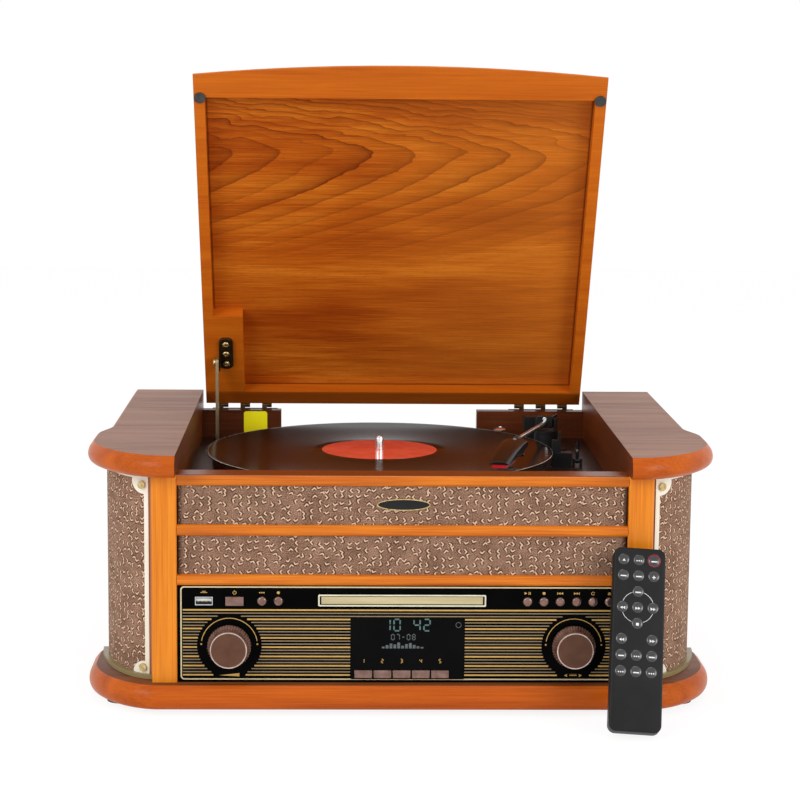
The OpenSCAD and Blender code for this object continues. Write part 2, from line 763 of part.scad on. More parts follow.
module cue_lever() color("black") set_frame() {
    bar_x(cue_x - cue_axle_half, cue_x + cue_axle_half, cue_y, cue_z, cue_pin_r);
    bar_z(cue_x, cue_y, cue_r, cue_z, cue_z + cue_len);
    bar_x(cue_x - cue_hub_r, cue_x + cue_hub_r, cue_y, cue_z, cue_hub_r);
}

// ---- Lid ----

lid_block_w = 27;
lid_block_len = 87.5;

module lid_plan() intersection() {
    translate([-lid_half_w, lid_front_y - lid_bow])
        square([2 * lid_half_w, lid_len + lid_bow]);
    translate([0, lid_front_y - lid_bow + bow_r]) circle(r = bow_r, $fn = 720);
}

lid_lip = 2;
lid_t = lid_frame_h + lid_panel_t;

// Disc whose rim bevels the bowed front edge above its lip
module bevel_disc() translate([0, lid_front_y - lid_bow + bow_r, 0]) rotate_extrude($fn = 720)
    polygon([[0, -1], [bow_r + 1, -1], [bow_r + 1, lid_lip - 1],
        [bow_r + lid_lip - lid_t - 1, lid_t + 1], [0, lid_t + 1]]);

module lid_frame() color("chocolate") lid_pose() translate([0, 0, lid_under]) intersection() {
    bevel_disc();
    linear_extrude(lid_frame_h) difference() {
        lid_plan();
        difference() {
            translate([-lid_half_w + lid_side_rail, lid_front_y + lid_front_rail])
                square([2 * (lid_half_w - lid_side_rail), lid_len - lid_front_rail - lid_rear_rail]);
            translate([-lid_half_w, lid_rear_y - lid_rear_rail - lid_block_len])
                square([lid_side_rail + lid_block_w, lid_block_len + 1]);
        }
    }
}

module lid_panel() color("sienna") lid_pose() translate([0, 0, lid_under]) intersection() {
    bevel_disc();
    translate([0, 0, lid_frame_h]) linear_extrude(lid_panel_t) lid_plan();
}

bumper_r = 5;
bumper_in = 5.3;
bumper_x = lid_half_w - bumper_in;
bumper_y = rail_d - bumper_r;

module lid_bumpers() color("dimgray") lid_pose() pair()
    bar_z(bumper_x, bumper_y, bumper_r, lid_under - bumper_h, lid_under);

// Hinges: each cell holds one lower and one upper knuckle
hinge_out = 171;
hinge_cells = 3;
knuckle_w = 4.5;
knuckle_gap = 0.1;
leaf_gap = 0.3;
cell_w = hinge_len / hinge_cells;
cell_start = (cell_w - 2 * knuckle_w - knuckle_gap) / 2;

// Knuckle with its tab; up is 1 for a leaf above the pin and -1 for one below
module knuckle(x, leaf_y, up) {
    bar_x(x, x + knuckle_w, hinge_y, hinge_z, knuckle_r);
    block([x, leaf_y, up > 0 ? hinge_z : hinge_z - knuckle_r - leaf_gap - 1],
          [x + knuckle_w, leaf_y + leaf_t, up > 0 ? hinge_z + knuckle_r + leaf_gap + 1 : hinge_z]);
}

module hinge_leaves_lower() color("darkgoldenrod") set_frame() pair()
    translate([-hinge_out, 0, 0]) {
        block([0, cabinet_d, hinge_z - knuckle_r - leaf_gap - leaf_h],
              [hinge_len, cabinet_d + leaf_t, hinge_z - knuckle_r - leaf_gap]);
        for (i = [0:hinge_cells - 1]) {
            knuckle(i * cell_w + cell_start, cabinet_d, -1);
            bar_x(i * cell_w + cell_start, i * cell_w + cell_start + 2 * knuckle_w + knuckle_gap,
                hinge_y, hinge_z, hinge_pin_r);
        }
    }

module hinge_leaves_upper() color("darkgoldenrod") lid_pose() pair()
    translate([-hinge_out, 0, 0]) difference() {
        union() {
            block([0, lid_rear_y, hinge_z + knuckle_r + leaf_gap],
                  [hinge_len, lid_rear_y + leaf_t, lid_top]);
            for (i = [0:hinge_cells - 1])
                knuckle(i * cell_w + cell_start + knuckle_w + knuckle_gap, lid_rear_y, 1);
        }
        bar_x(-1, hinge_len + 1, hinge_y, hinge_z, hinge_pin_r + running_gap);
    }

bracket_t = 1.5;
bracket_w = 13;
bracket_len = 35;
bracket_round = 5;
ear_t = 1.2;
ear_len = 14;
stay_ear_x = stay_x + stay_w / 2 + clear;
bracket_reach = 60;
bracket_mid_y = lid_rear_y - bracket_reach;
stay_pin_head = 1.2;

module stay_bracket() color("darkgoldenrod") lid_pose() {
    translate([0, 0, lid_under - bracket_t]) linear_extrude(bracket_t)
        soft_rect([stay_ear_x, bracket_mid_y - bracket_len / 2],
            [stay_ear_x + bracket_w, bracket_mid_y + bracket_len / 2], bracket_round);
    block([stay_ear_x, stay_closed_y - ear_len / 2, stay_closed_z - ear_len / 3],
          [stay_ear_x + ear_t, stay_closed_y + ear_len / 2, lid_under]);
    bar_x(stay_x - stay_w / 2 - stay_pin_head, stay_ear_x, stay_closed_y, stay_closed_z,
        stay_pin_r);
}

module stay_arm() color("darkkhaki") set_frame() difference() {
    union() {
        block([stay_x - stay_w / 2, stay_pivot[0] - stay_depth / 2, stay_pivot[1] - stay_len],
              [stay_x + stay_w / 2, stay_pivot[0] + stay_depth / 2, stay_pivot[1]]);
        bar_x(stay_x - stay_w / 2, stay_x + stay_w / 2, stay_pivot[0], stay_pivot[1],
            stay_depth / 2);
    }
    bar_x(stay_x - stay_w, stay_x + stay_w, stay_pivot[0], stay_pivot[1],
        stay_pin_r + running_gap);
}

// ---- Fascia and its controls ----

fascia_gap = 0.2;
fascia_low = base_top + fascia_gap;
fascia_high = lower_rail_z - fascia_gap;
fascia_back = fascia_set + fascia_t;
slot_lip = 3;
slot_lip_h = 2;
slot_lip_t = 1;
display_right_by = 4.6;
display_rise = 2.6;
display_left = -display_w / 2 + display_right_by;
display_low = base_top + display_rise;
window_t = 2;
window_stand = 0.4;
flat_key_w = 14.4;
flat_key_h = 6.6;
flat_key_rise = 7.1;
flat_key_z = base_top + flat_key_rise;
power_right = 4.2;
power_x = -knob_x + power_right;
power_w = 14.6;
power_h = 7.4;
usb_left = 20.2;
usb_x = -knob_x - usb_left;
usb_w = 14;
usb_h = 6.8;
left_keys_in = 26;
right_keys_in = 37.6;
left_keys_x = left_keys_in - knob_x;
right_keys_x = knob_x - right_keys_in;
pillar_r = 3;
pillar_side = 9.6;
pillar_out = well_half - pillar_side;
pillar_in = 90;
pillar_rise = 14;
board_y = 13;
board_t = 1.6;
tray_rise = 0.8;
tray_low = key_row_z + tray_rise - tray_h / 2;

module key_hole(x, z, w, h) upright(fascia_set - 2, fascia_t + 4)
    translate([x - w / 2 - key_gap, z - h / 2 - key_gap]) square([w + 2 * key_gap, h + 2 * key_gap]);

function flat_key_x(i) = (i - 2) * flat_key_pitch;
function round_key_x(i) = i < 2 ? left_keys_x + i * round_key_pitch
    : right_keys_x + (i - 2) * round_key_pitch;

module fascia() color([0.1, 0.09, 0.08]) set_frame() {
    difference() {
        union() {
            block([-well_half + seat, fascia_set, fascia_low],
                  [well_half - seat, fascia_back, fascia_high]);
            block([-tray_w / 2 - slot_lip, fascia_set - slot_lip_t, tray_low - slot_lip_h],
                  [tray_w / 2 + slot_lip, fascia_set, tray_low + tray_h + slot_lip_h]);
        }
        key_hole(0, tray_low + tray_h / 2, tray_w, tray_h);
        key_hole(power_x, key_row_z, power_w, power_h);
        key_hole(usb_x, key_row_z, usb_w - key_gap, usb_h - key_gap);
        for (i = [0:7]) bar_y(round_key_x(i), key_row_z, round_key_r + key_gap,
            fascia_set - 2, fascia_back + 1);
        for (i = [0:4]) key_hole(flat_key_x(i), flat_key_z, flat_key_w, flat_key_h);
        for (side = [-1, 1]) bar_y(side * knob_x, knob_z, knob_shaft_r + running_gap,
            fascia_set - 1, fascia_back + 1);
        // Rebate that holds the display window
        block([display_left, fascia_set - 1, display_low],
              [display_left + display_w, fascia_set + window_t, display_top_z]);
    }
    // Pillars that carry the circuit board
    for (x = [-pillar_out, -pillar_in, pillar_in, pillar_out],
         z = [base_top + pillar_rise, key_row_z - pillar_rise])
        bar_y(x, z, pillar_r, fascia_back, board_y);
}

module display_window() color([0.05, 0.08, 0.08]) set_frame() difference() {
    block([display_left + seat, fascia_set - window_stand, display_low + seat],
          [display_left + display_w - seat, fascia_set + window_t - seat, display_top_z - seat]);
    for (i = [0:4]) key_hole(flat_key_x(i), flat_key_z, flat_key_w, flat_key_h);
}

usb_wall = 0.6;
usb_stand = 0.6;
tongue_in = 1.6;
tongue_low = 0.2;
tongue_high = 1.7;
usb_depth = board_y - fascia_set - seat;

module usb_socket() color("silver") set_frame() {
    difference() {
        block([usb_x - usb_w / 2, fascia_set - usb_stand, key_row_z - usb_h / 2],
              [usb_x + usb_w / 2, fascia_set + usb_depth, key_row_z + usb_h / 2]);
        block([usb_x - usb_w / 2 + usb_wall, fascia_set - 1, key_row_z - usb_h / 2 + usb_wall],
              [usb_x + usb_w / 2 - usb_wall, fascia_set + usb_depth - usb_wall,
               key_row_z + usb_h / 2 - usb_wall]);
    }
    block([usb_x - usb_w / 2 + tongue_in, fascia_set + usb_stand, key_row_z - tongue_low],
          [usb_x + usb_w / 2 - tongue_in, fascia_set + usb_depth - usb_wall,
           key_row_z + tongue_high]);
}

board_in = 4;
board_edge_gap = 2;
board_slot_side = 9;
board_slot_low = 6;
pot_r = 8;
pot_h = 6;
chip_w = 120;
chip_h = 18;
chip_t = 9;
chip_rise = 9.7;
chip_z = base_top + chip_rise;
capacitor_r = 6;
capacitor_h = 16;
capacitor_z = (base_top + lower_rail_z) / 2;
capacitor_pitch = 50;

module main_board() color("darkgreen") set_frame() {
    difference() {
        union() {
            upright(board_y, board_t) difference() {
                translate([-well_half + board_in, fascia_low + board_edge_gap])
                    square([2 * (well_half - board_in),
                            fascia_high - fascia_low - 2 * board_edge_gap]);
                translate([-tray_w / 2 - board_slot_side, tray_low - board_slot_low])
                    square([tray_w + 2 * board_slot_side,
                            fascia_high - tray_low + board_slot_low]);
            }
            for (side = [-1, 1]) bar_y(side * knob_x, knob_z, pot_r, board_y - pot_h, board_y);
            block([-chip_w / 2, board_y + board_t, chip_z],
                  [chip_w / 2, board_y + board_t + chip_t, chip_z + chip_h]);
            for (i = [-2.5:1:2.5]) bar_y(i * capacitor_pitch, capacitor_z, capacitor_r,
                board_y + board_t, board_y + board_t + capacitor_h);
        }
        for (side = [-1, 1]) bar_y(side * knob_x, knob_z, knob_shaft_r + running_gap,
            board_y - pot_h - 1, board_y + board_t + 1);
    }
}

// Transformer: foot plate, winding and iron core
transformer_w = 66;
transformer_d = 54;
transformer_h = 50;
transformer_x = -90;
transformer_reach = 102.6;
transformer_y = cabinet_d - transformer_reach;
foot_plate_t = 2;
winding_in_x = 8;
winding_in_y = 6;
core_in_x = 2;
core_in_y = 14;
core_in_z = 10;

module power_transformer() color("darkorange") set_frame()
    translate([transformer_x, transformer_y, base_top]) {
        cube([transformer_w, transformer_d, foot_plate_t]);
        translate([winding_in_x, winding_in_y, foot_plate_t])
            cube([transformer_w - 2 * winding_in_x, transformer_d - 2 * winding_in_y,
                  transformer_h]);
        translate([core_in_x, core_in_y, foot_plate_t + core_in_z])
            cube([transformer_w - 2 * core_in_x, transformer_d - 2 * core_in_y,
                  transformer_h - 2 * core_in_z]);
    }

// Disc drive: a folded tray housing on two side brackets
drive_wall = 2;
drive_front = 8;
drive_back = 176;
drive_low = tray_low - 2 * drive_wall;
drive_high = tray_low + tray_h + 3 * drive_wall;
drive_side = 3;
drive_half_w = tray_w / 2 + drive_side;
drive_leg_x = drive_half_w - drive_wall / 2;
drive_leg_front = 24;
drive_leg_back = 10;
tray_play = 0.6;

module cd_mechanism() color("lightgray") set_frame() {
    difference() {
        block([-drive_half_w, drive_front, drive_low], [drive_half_w, drive_back, drive_high]);
        block([-tray_w / 2 - tray_play, drive_front - 1, tray_low - tray_play],
              [tray_w / 2 + tray_play, drive_back - drive_wall, drive_high - drive_wall]);
    }
    for (side = [-1, 1])
        block([side * drive_leg_x - drive_wall / 2, drive_front + drive_leg_front, base_top],
              [side * drive_leg_x + drive_wall / 2, drive_back - drive_leg_back, drive_low]);
}

tray_d = 158;
tray_bar_t = 5;
tray_stand = 0.6;
tray_step = 0.4;
disc_r = 60.5;
disc_seat = 2;
disc_front = 8;
tray_plate = 4.6;

module cd_tray() color("beige") set_frame() difference() {
    union() {
        block([-tray_w / 2, fascia_set - tray_stand, tray_low],
              [tray_w / 2, fascia_set + tray_bar_t, tray_low + tray_h]);
        block([-tray_w / 2 + tray_step, fascia_set + tray_bar_t, tray_low],
              [tray_w / 2 - tray_step, fascia_set + tray_d, tray_low + tray_plate]);
    }
    bar_z(0, fascia_set + disc_front + disc_r, disc_r, tray_low + tray_plate - disc_seat,
        tray_low + tray_h + 1);
}

knob_front_r = 14.6;
knob_foot_h = 4;
knob_foot_gap = 2;
knob_front_y = fascia_set - knob_reach;
knob_foot_y = fascia_set - knob_foot_gap;

// Knob turned about Y: wide foot, waisted grip and a flat face
module knob_body(x) translate([x, knob_foot_y, knob_z]) rotate([90, 0, 0])
    rotate_extrude($fn = 96) polygon([[0, 0], [knob_r, 0], [knob_r, knob_foot_h],
        [knob_front_r + 0.9, knob_foot_h + 0.8], [knob_front_r + 0.4, knob_foot_y - knob_front_y - 1],
        [knob_front_r - 0.6, knob_foot_y - knob_front_y], [0, knob_foot_y - knob_front_y]]);

module volume_knob() color("sienna") set_frame() {
    knob_body(-knob_x);
    bar_y(-knob_x, knob_z, knob_shaft_r, knob_foot_y, board_y - 1);
}

shaft_in_knob = 10;

module tuner_shaft() color("silver") set_frame()
    bar_y(knob_x, knob_z, knob_shaft_r, knob_foot_y - shaft_in_knob, board_y - 2);

module tuner_knob() color("sienna") set_frame() difference() {
    knob_body(knob_x);
    bar_y(knob_x, knob_z, knob_shaft_r + running_gap, knob_foot_y - shaft_in_knob - clear,
        knob_foot_y + 1);
}

key_proud_when_pressed = 0.7;
key_stand = key_travel + key_proud_when_pressed;
collar = 1;
collar_t = 1.2;
collar_in = 0.6;
collar_y = fascia_back + clear;

module round_key(i) color("sienna") set_frame() {
    bar_y(round_key_x(i), key_row_z, round_key_r, fascia_set - key_stand, collar_y);
    bar_y(round_key_x(i), key_row_z, round_key_r + collar, collar_y, collar_y + collar_t);
}

module flat_key(x, z, w, h) color("sienna") set_frame() {
    block([x - w / 2, fascia_set - key_stand, z - h / 2], [x + w / 2, collar_y, z + h / 2]);
    block([x - w / 2 + collar_in, collar_y, z - h / 2 - collar],
          [x + w / 2 - collar_in, collar_y + collar_t, z + h / 2 + collar]);
}

module power_button() flat_key(power_x, key_row_z, power_w, power_h);
module function_button() round_key(0);
module record_button() round_key(1);
module play_button() round_key(2);
module stop_button() round_key(3);
module skip_back_button() round_key(4);
module skip_forward_button() round_key(5);
module play_mode_button() round_key(6);
module eject_button() round_key(7);
module menu_button() flat_key(flat_key_x(0), flat_key_z, flat_key_w, flat_key_h);
module info_button() flat_key(flat_key_x(1), flat_key_z, flat_key_w, flat_key_h);
module scan_button() flat_key(flat_key_x(2), flat_key_z, flat_key_w, flat_key_h);
module preset_button() flat_key(flat_key_x(3), flat_key_z, flat_key_w, flat_key_h);
module eq_button() flat_key(flat_key_x(4), flat_key_z, flat_key_w, flat_key_h);

// Loudspeakers behind the curved grilles
rim_h = 2;
basket_top_r = driver_r - 4;
driver_room = driver_x - well_half - lining_t;
basket_h = 0.4 * driver_room;
magnet_r = 18;
magnet_h = 0.3 * driver_room;

module speaker() on_baffle() translate([0, 0, seat]) {
    cylinder(h = rim_h, r = driver_r, $fn = round_fn);
    translate([0, 0, rim_h])
        cylinder(h = basket_h, r1 = basket_top_r, r2 = magnet_r - 2, $fn = round_fn);
    translate([0, 0, rim_h + basket_h - 1])
        cylinder(h = magnet_h, r = magnet_r, $fn = round_fn);
}

module speakers() color("darkgray") set_frame() pair() speaker();

// Screws: grille ears, back panel, and the raised transit screw on the deck
ear_screw_x = post_out + 8;
ear_screw_r = 3.3;
ear_screw_h = 1.6;
ear_screw_in = 9;
ear_screw_down = 10.8;
panel_screw_r = 3.5;
panel_screw_h = 1.8;
panel_screw_in = 10;
panel_screw_x = post_out;
panel_screw_mid_x = 60;
transit_right = 116;
transit_in = 15.6;
transit_x = spindle_x + transit_right;
transit_y = back_in - transit_in;
transit_r = 5.7;
transit_shank_r = 2;
transit_rise = 10;
transit_head_h = 2;

// Depth of the trim's outer face at a sideways place, and the way it faces there
function trim_depth(x) = grille_end - (grille_end - grille_start + trim_t)
    * pow(1 - pow((x - post_out) / (grille_half_w - post_out + trim_t), corner_fullness),
          1 / corner_fullness);
ear_turn = atan((trim_depth(ear_screw_x + 1) - trim_depth(ear_screw_x - 1)) / 2);

module cabinet_screws() color("goldenrod") set_frame() {
    pair() for (z = [base_top + ear_screw_in, wing_under - ear_screw_down])
        translate([ear_screw_x, trim_depth(ear_screw_x), z]) rotate([0, 0, ear_turn])
            bar_y(0, 0, ear_screw_r, -ear_screw_h - 2 * seat, -2 * seat);
    pair() for (place = [[panel_screw_mid_x, base_top + panel_screw_in],
                         [panel_screw_x, base_top + panel_screw_in],
                         [panel_screw_x, (base_top + wing_under) / 2],
                         [panel_screw_x, wing_under - panel_screw_in]])
        bar_y(place[0], place[1], panel_screw_r, cabinet_d + seat, cabinet_d + panel_screw_h);
    bar_z(transit_x, transit_y, transit_shank_r, deck_z, deck_z + transit_rise);
    translate([transit_x, transit_y, deck_z + transit_rise])
        cylinder(h = transit_head_h, r1 = transit_r, r2 = transit_r - 2, $fn = round_fn);
}

// ---- Remote ----

remote_face_inset = 2;
remote_key_stand = 1;
remote_key_gap = 0.4;
remote_top_margin = 9.9;
remote_keys_left = 0.7;
remote_keys = concat(
    [for (row = [0, 1, 6, 7], column = [-1, 0, 1]) [column, row]],
    [[0, 2], [-1, 3], [0, 3], [1, 3], [0, 4], [-1, 5], [1, 5]]);

// Stands children up at the remote's place, with their front face at y = 0
module remote_pose() set_frame() translate([remote_x, footprint_front, remote_foot_z])
    rotate([-remote_lean, 0, 0]) rotate([0, remote_roll, 0]) children();

function remote_key_z(row) = remote_len - remote_top_margin - row * remote_row;

module remote_case() color([0.2, 0.2, 0.21]) remote_pose() difference() {
    upright(0, remote_t) soft_rect([-remote_w / 2, 0], [remote_w / 2, remote_len],
        remote_corner_r);
    for (key = remote_keys)
        bar_y(key[0] * remote_column - remote_keys_left, remote_key_z(key[1]),
            remote_key_r + remote_key_gap, -1, remote_face_inset, 32);
}

module remote_keypad() color("black") remote_pose()
    for (key = remote_keys)
        bar_y(key[0] * remote_column - remote_keys_left, remote_key_z(key[1]), remote_key_r,
            -remote_key_stand, remote_face_inset, 32);

base_plinth();
feet();
front_frame();
front_grilles();
side_grille_left();
side_grille_right();
grille_trims();
side_wall_left();
side_wall_right();
well_walls();
wing_left();
wing_right();
back_panel();
jack_panel();
deck_plate();
fascia();
display_window();
usb_socket();
speakers();
main_board();
power_transformer();
cd_mechanism();
platter_motor();
drive_belt();
tonearm_base();
hinge_leaves_lower();
cabinet_screws();
lid_frame();
lid_panel();
lid_bumpers();
hinge_leaves_upper();
stay_bracket();
stay_arm();
platter();
record();
motor_pulley();
tonearm_yoke();
tonearm_arm();
cartridge();
cue_lever();
cd_tray();
volume_knob();
tuner_shaft();
tuner_knob();
power_button();
function_button();
record_button();
play_button();
stop_button();
skip_back_button();
skip_forward_button();
play_mode_button();
eject_button();
menu_button();
info_button();
scan_button();
preset_button();
eq_button();
remote_case();
remote_keypad();
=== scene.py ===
import math

import bpy
from mathutils import Matrix, Vector


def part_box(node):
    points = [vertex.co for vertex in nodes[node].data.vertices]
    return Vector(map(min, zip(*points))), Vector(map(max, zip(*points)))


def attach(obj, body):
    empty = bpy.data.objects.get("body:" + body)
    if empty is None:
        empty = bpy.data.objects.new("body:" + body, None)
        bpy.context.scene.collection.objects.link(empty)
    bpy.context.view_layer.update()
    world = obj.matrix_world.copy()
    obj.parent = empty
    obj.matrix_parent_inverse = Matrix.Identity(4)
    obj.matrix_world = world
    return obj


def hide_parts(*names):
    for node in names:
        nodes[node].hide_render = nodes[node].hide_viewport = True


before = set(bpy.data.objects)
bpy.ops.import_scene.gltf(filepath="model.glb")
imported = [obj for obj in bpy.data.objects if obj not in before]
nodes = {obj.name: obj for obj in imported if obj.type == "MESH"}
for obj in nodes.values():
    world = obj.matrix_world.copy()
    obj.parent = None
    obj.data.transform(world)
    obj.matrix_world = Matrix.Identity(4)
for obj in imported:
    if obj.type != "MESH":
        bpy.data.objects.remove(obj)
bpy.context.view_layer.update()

# ---- Studio
# The camera stands where the photograph was taken, in front of the cabinet and above it.
# The lens is long, so the sides of the cabinet hardly converge.
camera_place, lens_length, sensor_width = (-0.0505, -1.8669, 0.5069), 99.54, 36
yaw, pitch, roll = 0.0274, -0.1457, 0.009
camera = bpy.data.objects.new("camera", bpy.data.cameras.new("camera"))
bpy.context.scene.collection.objects.link(camera)
bpy.context.scene.camera = camera
ahead = Vector((math.sin(yaw) * math.cos(pitch), math.cos(yaw) * math.cos(pitch), math.sin(pitch)))
level_right = Vector((math.cos(yaw), -math.sin(yaw), 0))
level_up = level_right.cross(ahead)
camera_right = level_right * math.cos(roll) + level_up * math.sin(roll)
camera_up = level_up * math.cos(roll) - level_right * math.sin(roll)
camera.matrix_world = Matrix.Translation(camera_place) @ Matrix(
    (camera_right, camera_up, -ahead)).transposed().to_4x4()
camera.data.lens = lens_length
camera.data.sensor_width = sensor_width

# A white room lights the set softly from all round. The camera, mirrors and glass see it as
# plain white, while the light that falls on surfaces is kept lower.
room_light, lamp_aim = 0.55, Vector((0, 0, 0.2))
bpy.context.scene.view_settings.view_transform = "Standard"
room = bpy.data.worlds.new("white_room")
bpy.context.scene.world = room
room.use_nodes = True


def seen_directly(tree):
    """1 for rays from the camera, and for those that a mirror or glass sends on."""
    path = tree.nodes.new("ShaderNodeLightPath")
    seen = path.outputs["Is Camera Ray"]
    for ray in ("Is Glossy Ray", "Is Transmission Ray"):
        either = tree.nodes.new("ShaderNodeMath")
        either.operation = "MAXIMUM"
        tree.links.new(seen, either.inputs[0])
        tree.links.new(path.outputs[ray], either.inputs[1])
        seen = either.outputs[0]
    return seen


level = room.node_tree.nodes.new("ShaderNodeMapRange")
level.inputs["To Min"].default_value = room_light
room.node_tree.links.new(seen_directly(room.node_tree), level.inputs["Value"])
sky = room.node_tree.nodes["Background"]
sky.inputs["Color"].default_value = (1, 1, 1, 1)
room.node_tree.links.new(level.outputs["Result"], sky.inputs["Strength"])


def softbox(name, spot, size, watts):
    """A square studio lamp that faces the middle of the cabinet."""
    lamp = bpy.data.objects.new(name, bpy.data.lights.new(name, "AREA"))
    lamp.data.size = size
    lamp.data.energy = watts
    lamp.location = spot
    lamp.rotation_euler = (lamp_aim - Vector(spot)).to_track_quat("-Z", "Y").to_euler()
    bpy.context.scene.collection.objects.link(lamp)


softbox("key_lamp", (-2.0, -1.9, 1.6), 1.5, 36)
softbox("fill_lamp", (1.7, -1.6, 0.9), 1.0, 20)
softbox("top_lamp", (0.1, 0.1, 2.4), 1.4, 10)

# The table is a pale sheet that stays nearly white and keeps a soft shadow under the set.
table_half, table_tone, table_roughness, table_glow, glow_part = 4, 0.9, 0.9, 1.1, 0.8
table = bpy.data.objects.new("table", bpy.data.meshes.new("table"))
table.data.from_pydata([(x * table_half, y * table_half, 0) for x, y in ((-1, -1), (1, -1), (1, 1), (-1, 1))],
                       [], [(0, 1, 2, 3)])
bpy.context.scene.collection.objects.link(table)
table_white = bpy.data.materials.new("table_white")
table_white.use_nodes = True
table.data.materials.append(table_white)
table_tree = table_white.node_tree
table_paint = table_tree.nodes["Principled BSDF"]
table_paint.inputs["Base Color"].default_value = (table_tone,) * 3 + (1,)
table_paint.inputs["Roughness"].default_value = table_roughness
glow = table_tree.nodes.new("ShaderNodeEmission")
glow.inputs["Strength"].default_value = table_glow
share = table_tree.nodes.new("ShaderNodeMath")
share.operation = "MULTIPLY"
share.inputs[1].default_value = glow_part
blend = table_tree.nodes.new("ShaderNodeMixShader")
for output, socket in ((seen_directly(table_tree), share.inputs[0]), (share.outputs[0], blend.inputs[0]),
                       (table_paint.outputs[0], blend.inputs[1]), (glow.outputs[0], blend.inputs[2]),
                       (blend.outputs[0], table_tree.nodes["Material Output"].inputs[0])):
    table_tree.links.new(output, socket)

# ---- Base board
# A board with a swelling, lacquered edge that carries the whole cabinet. It is cut to a
# curve at the front corners, waisted at the sides, and stained red-brown.
# Places are in millimetres from the front of the posts, the middle and the table top.
posts_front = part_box("front_frame")[0].y


def in_cabinet(point):
    return Vector((point[0] / 1000, posts_front + point[1] / 1000, point[2] / 1000))


def stain(red, green, blue):
    """A colour as it is seen, from 0 to 255, in the values that the shader works with."""
    return tuple((c / 255 / 12.92 if c < 11 else ((c / 255 + 0.055) / 1.055) ** 2.4)
                 for c in (red, green, blue)) + (1,)


class Finish:
    """A surface finish built from nodes, in the piece's own place, in millimetres."""

    def __init__(self, name, roughness=0.5, **sockets):
        self.material = bpy.data.materials.new(name)
        self.material.use_nodes = True
        self.tree = self.material.node_tree
        self.shader = self.tree.nodes["Principled BSDF"]
        self.shader.inputs["Roughness"].default_value = roughness
        for socket, value in sockets.items():
            self.feed(self.shader.inputs[socket.replace("_", " ")], value)

    def feed(self, socket, value):
        if isinstance(value, bpy.types.NodeSocket):
            self.tree.links.new(value, socket)
        else:
            socket.default_value = value

    def add(self, kind, inputs=None, out=0, **settings):
        node = self.tree.nodes.new("ShaderNode" + kind)
        for key, value in settings.items():
            setattr(node, key, value)
        for key, value in (inputs or {}).items():
            self.feed(node.inputs[key], value)
        return node.outputs[out]

    def place(self, turn=(0, 0, 0), shift=(0, 0, 0)):
        """The point in millimetres, turned so that the grain runs along its first axis."""
        point = self.add("TexCoord", out="Object")
        return self.add("Mapping", {"Vector": point, "Rotation": turn, "Scale": (1000,) * 3,
                                    "Location": shift})

    def stretched(self, point, *size):
        return self.add("Mapping", {"Vector": point, "Scale": tuple(1 / s for s in size)})

    def sum(self, operation, first, second=0.0, third=0.0):
        return self.add("Math", {0: first, 1: second, 2: third}, operation=operation)

    def product(self, *factors):
        result = factors[0]
        for factor in factors[1:]:
            result = self.sum("MULTIPLY", result, factor)
        return result

    def span(self, value, start, end, low=0.0, high=1.0):
        """Runs from low to high while the value goes from start to end, and stays there."""
        return self.add("MapRange", {"Value": value, "From Min": start, "From Max": end,
                                     "To Min": low, "To Max": high})

    def cloud(self, point, size, detail=3.0, twist=0.0):
        """Noise from 0 to 1 whose patches have the given size."""
        sizes = size if isinstance(size, tuple) else (size,) * 3
        return self.add("TexNoise", {"Vector": self.stretched(point, *sizes), "Scale": 1.0,
                                     "Detail": detail, "Distortion": twist})

    def ramp(self, factor, *stops):
        node = self.tree.nodes.new("ShaderNodeValToRGB")
        while len(node.color_ramp.elements) < len(stops):
            node.color_ramp.elements.new(0.5)
        for element, (position, colour) in zip(node.color_ramp.elements, stops):
            element.position = position
            element.color = colour if isinstance(colour, tuple) else (colour,) * 3 + (1,)
        self.feed(node.inputs[0], factor)
        return node.outputs[0]

    def mix(self, factor, first, second):
        node = self.tree.nodes.new("ShaderNodeMix")
        node.data_type = "RGBA"
        for index, value in ((0, factor), (6, first), (7, second)):
            self.feed(node.inputs[index], value)
        return node.outputs[2]

    def relief(self, height, depth):
        """Raises the surface by up to depth millimetres where the height is 1."""
        bump = self.add("Bump", {"Height": height, "Distance": depth / 1000})
        self.feed(self.shader.inputs["Normal"], bump)

    def colour(self, value):
        self.feed(self.shader.inputs["Base Color"], value)
        return self.material


def wood(name, light, dark, turn=(0, 0, 0), gloss=0.34):
    """Lacquered wood: broad tone, fine fibre along the grain, and short dark pores."""
    finish = Finish(name, gloss, Specular_IOR_Level=0.14, Coat_Weight=0.02, Coat_Roughness=0.2)
    point = finish.place(turn)
    tone = finish.cloud(point, (150, 16, 16), 4, 0.6)
    fibre = finish.cloud(point, (60, 1.1, 1.1), 5)
    pores = finish.ramp(finish.cloud(point, (9, 0.45, 0.45), 2), (0.62, 0.0), (0.74, 1.0))
    both = finish.sum("MULTIPLY_ADD", fibre, 0.45, finish.product(tone, 0.6))
    base = finish.ramp(both, (0.32, stain(*dark)), (0.7, stain(*light)))
    finish.relief(finish.sum("SUBTRACT", fibre, pores), 0.06)
    return finish.colour(finish.mix(finish.product(pores, 0.35), base, stain(*dark)))


along_x, along_y, along_z = (0, 0, 0), (0, 0, -math.pi / 2), (0, math.pi / 2, 0)
edge_wood = wood("edge_wood", (204, 98, 22), (160, 66, 10), along_x, gloss=0.3)


def dress(node, material):
    """Gives a CAD node its finish."""
    nodes[node].data.materials.clear()
    nodes[node].data.materials.append(material)


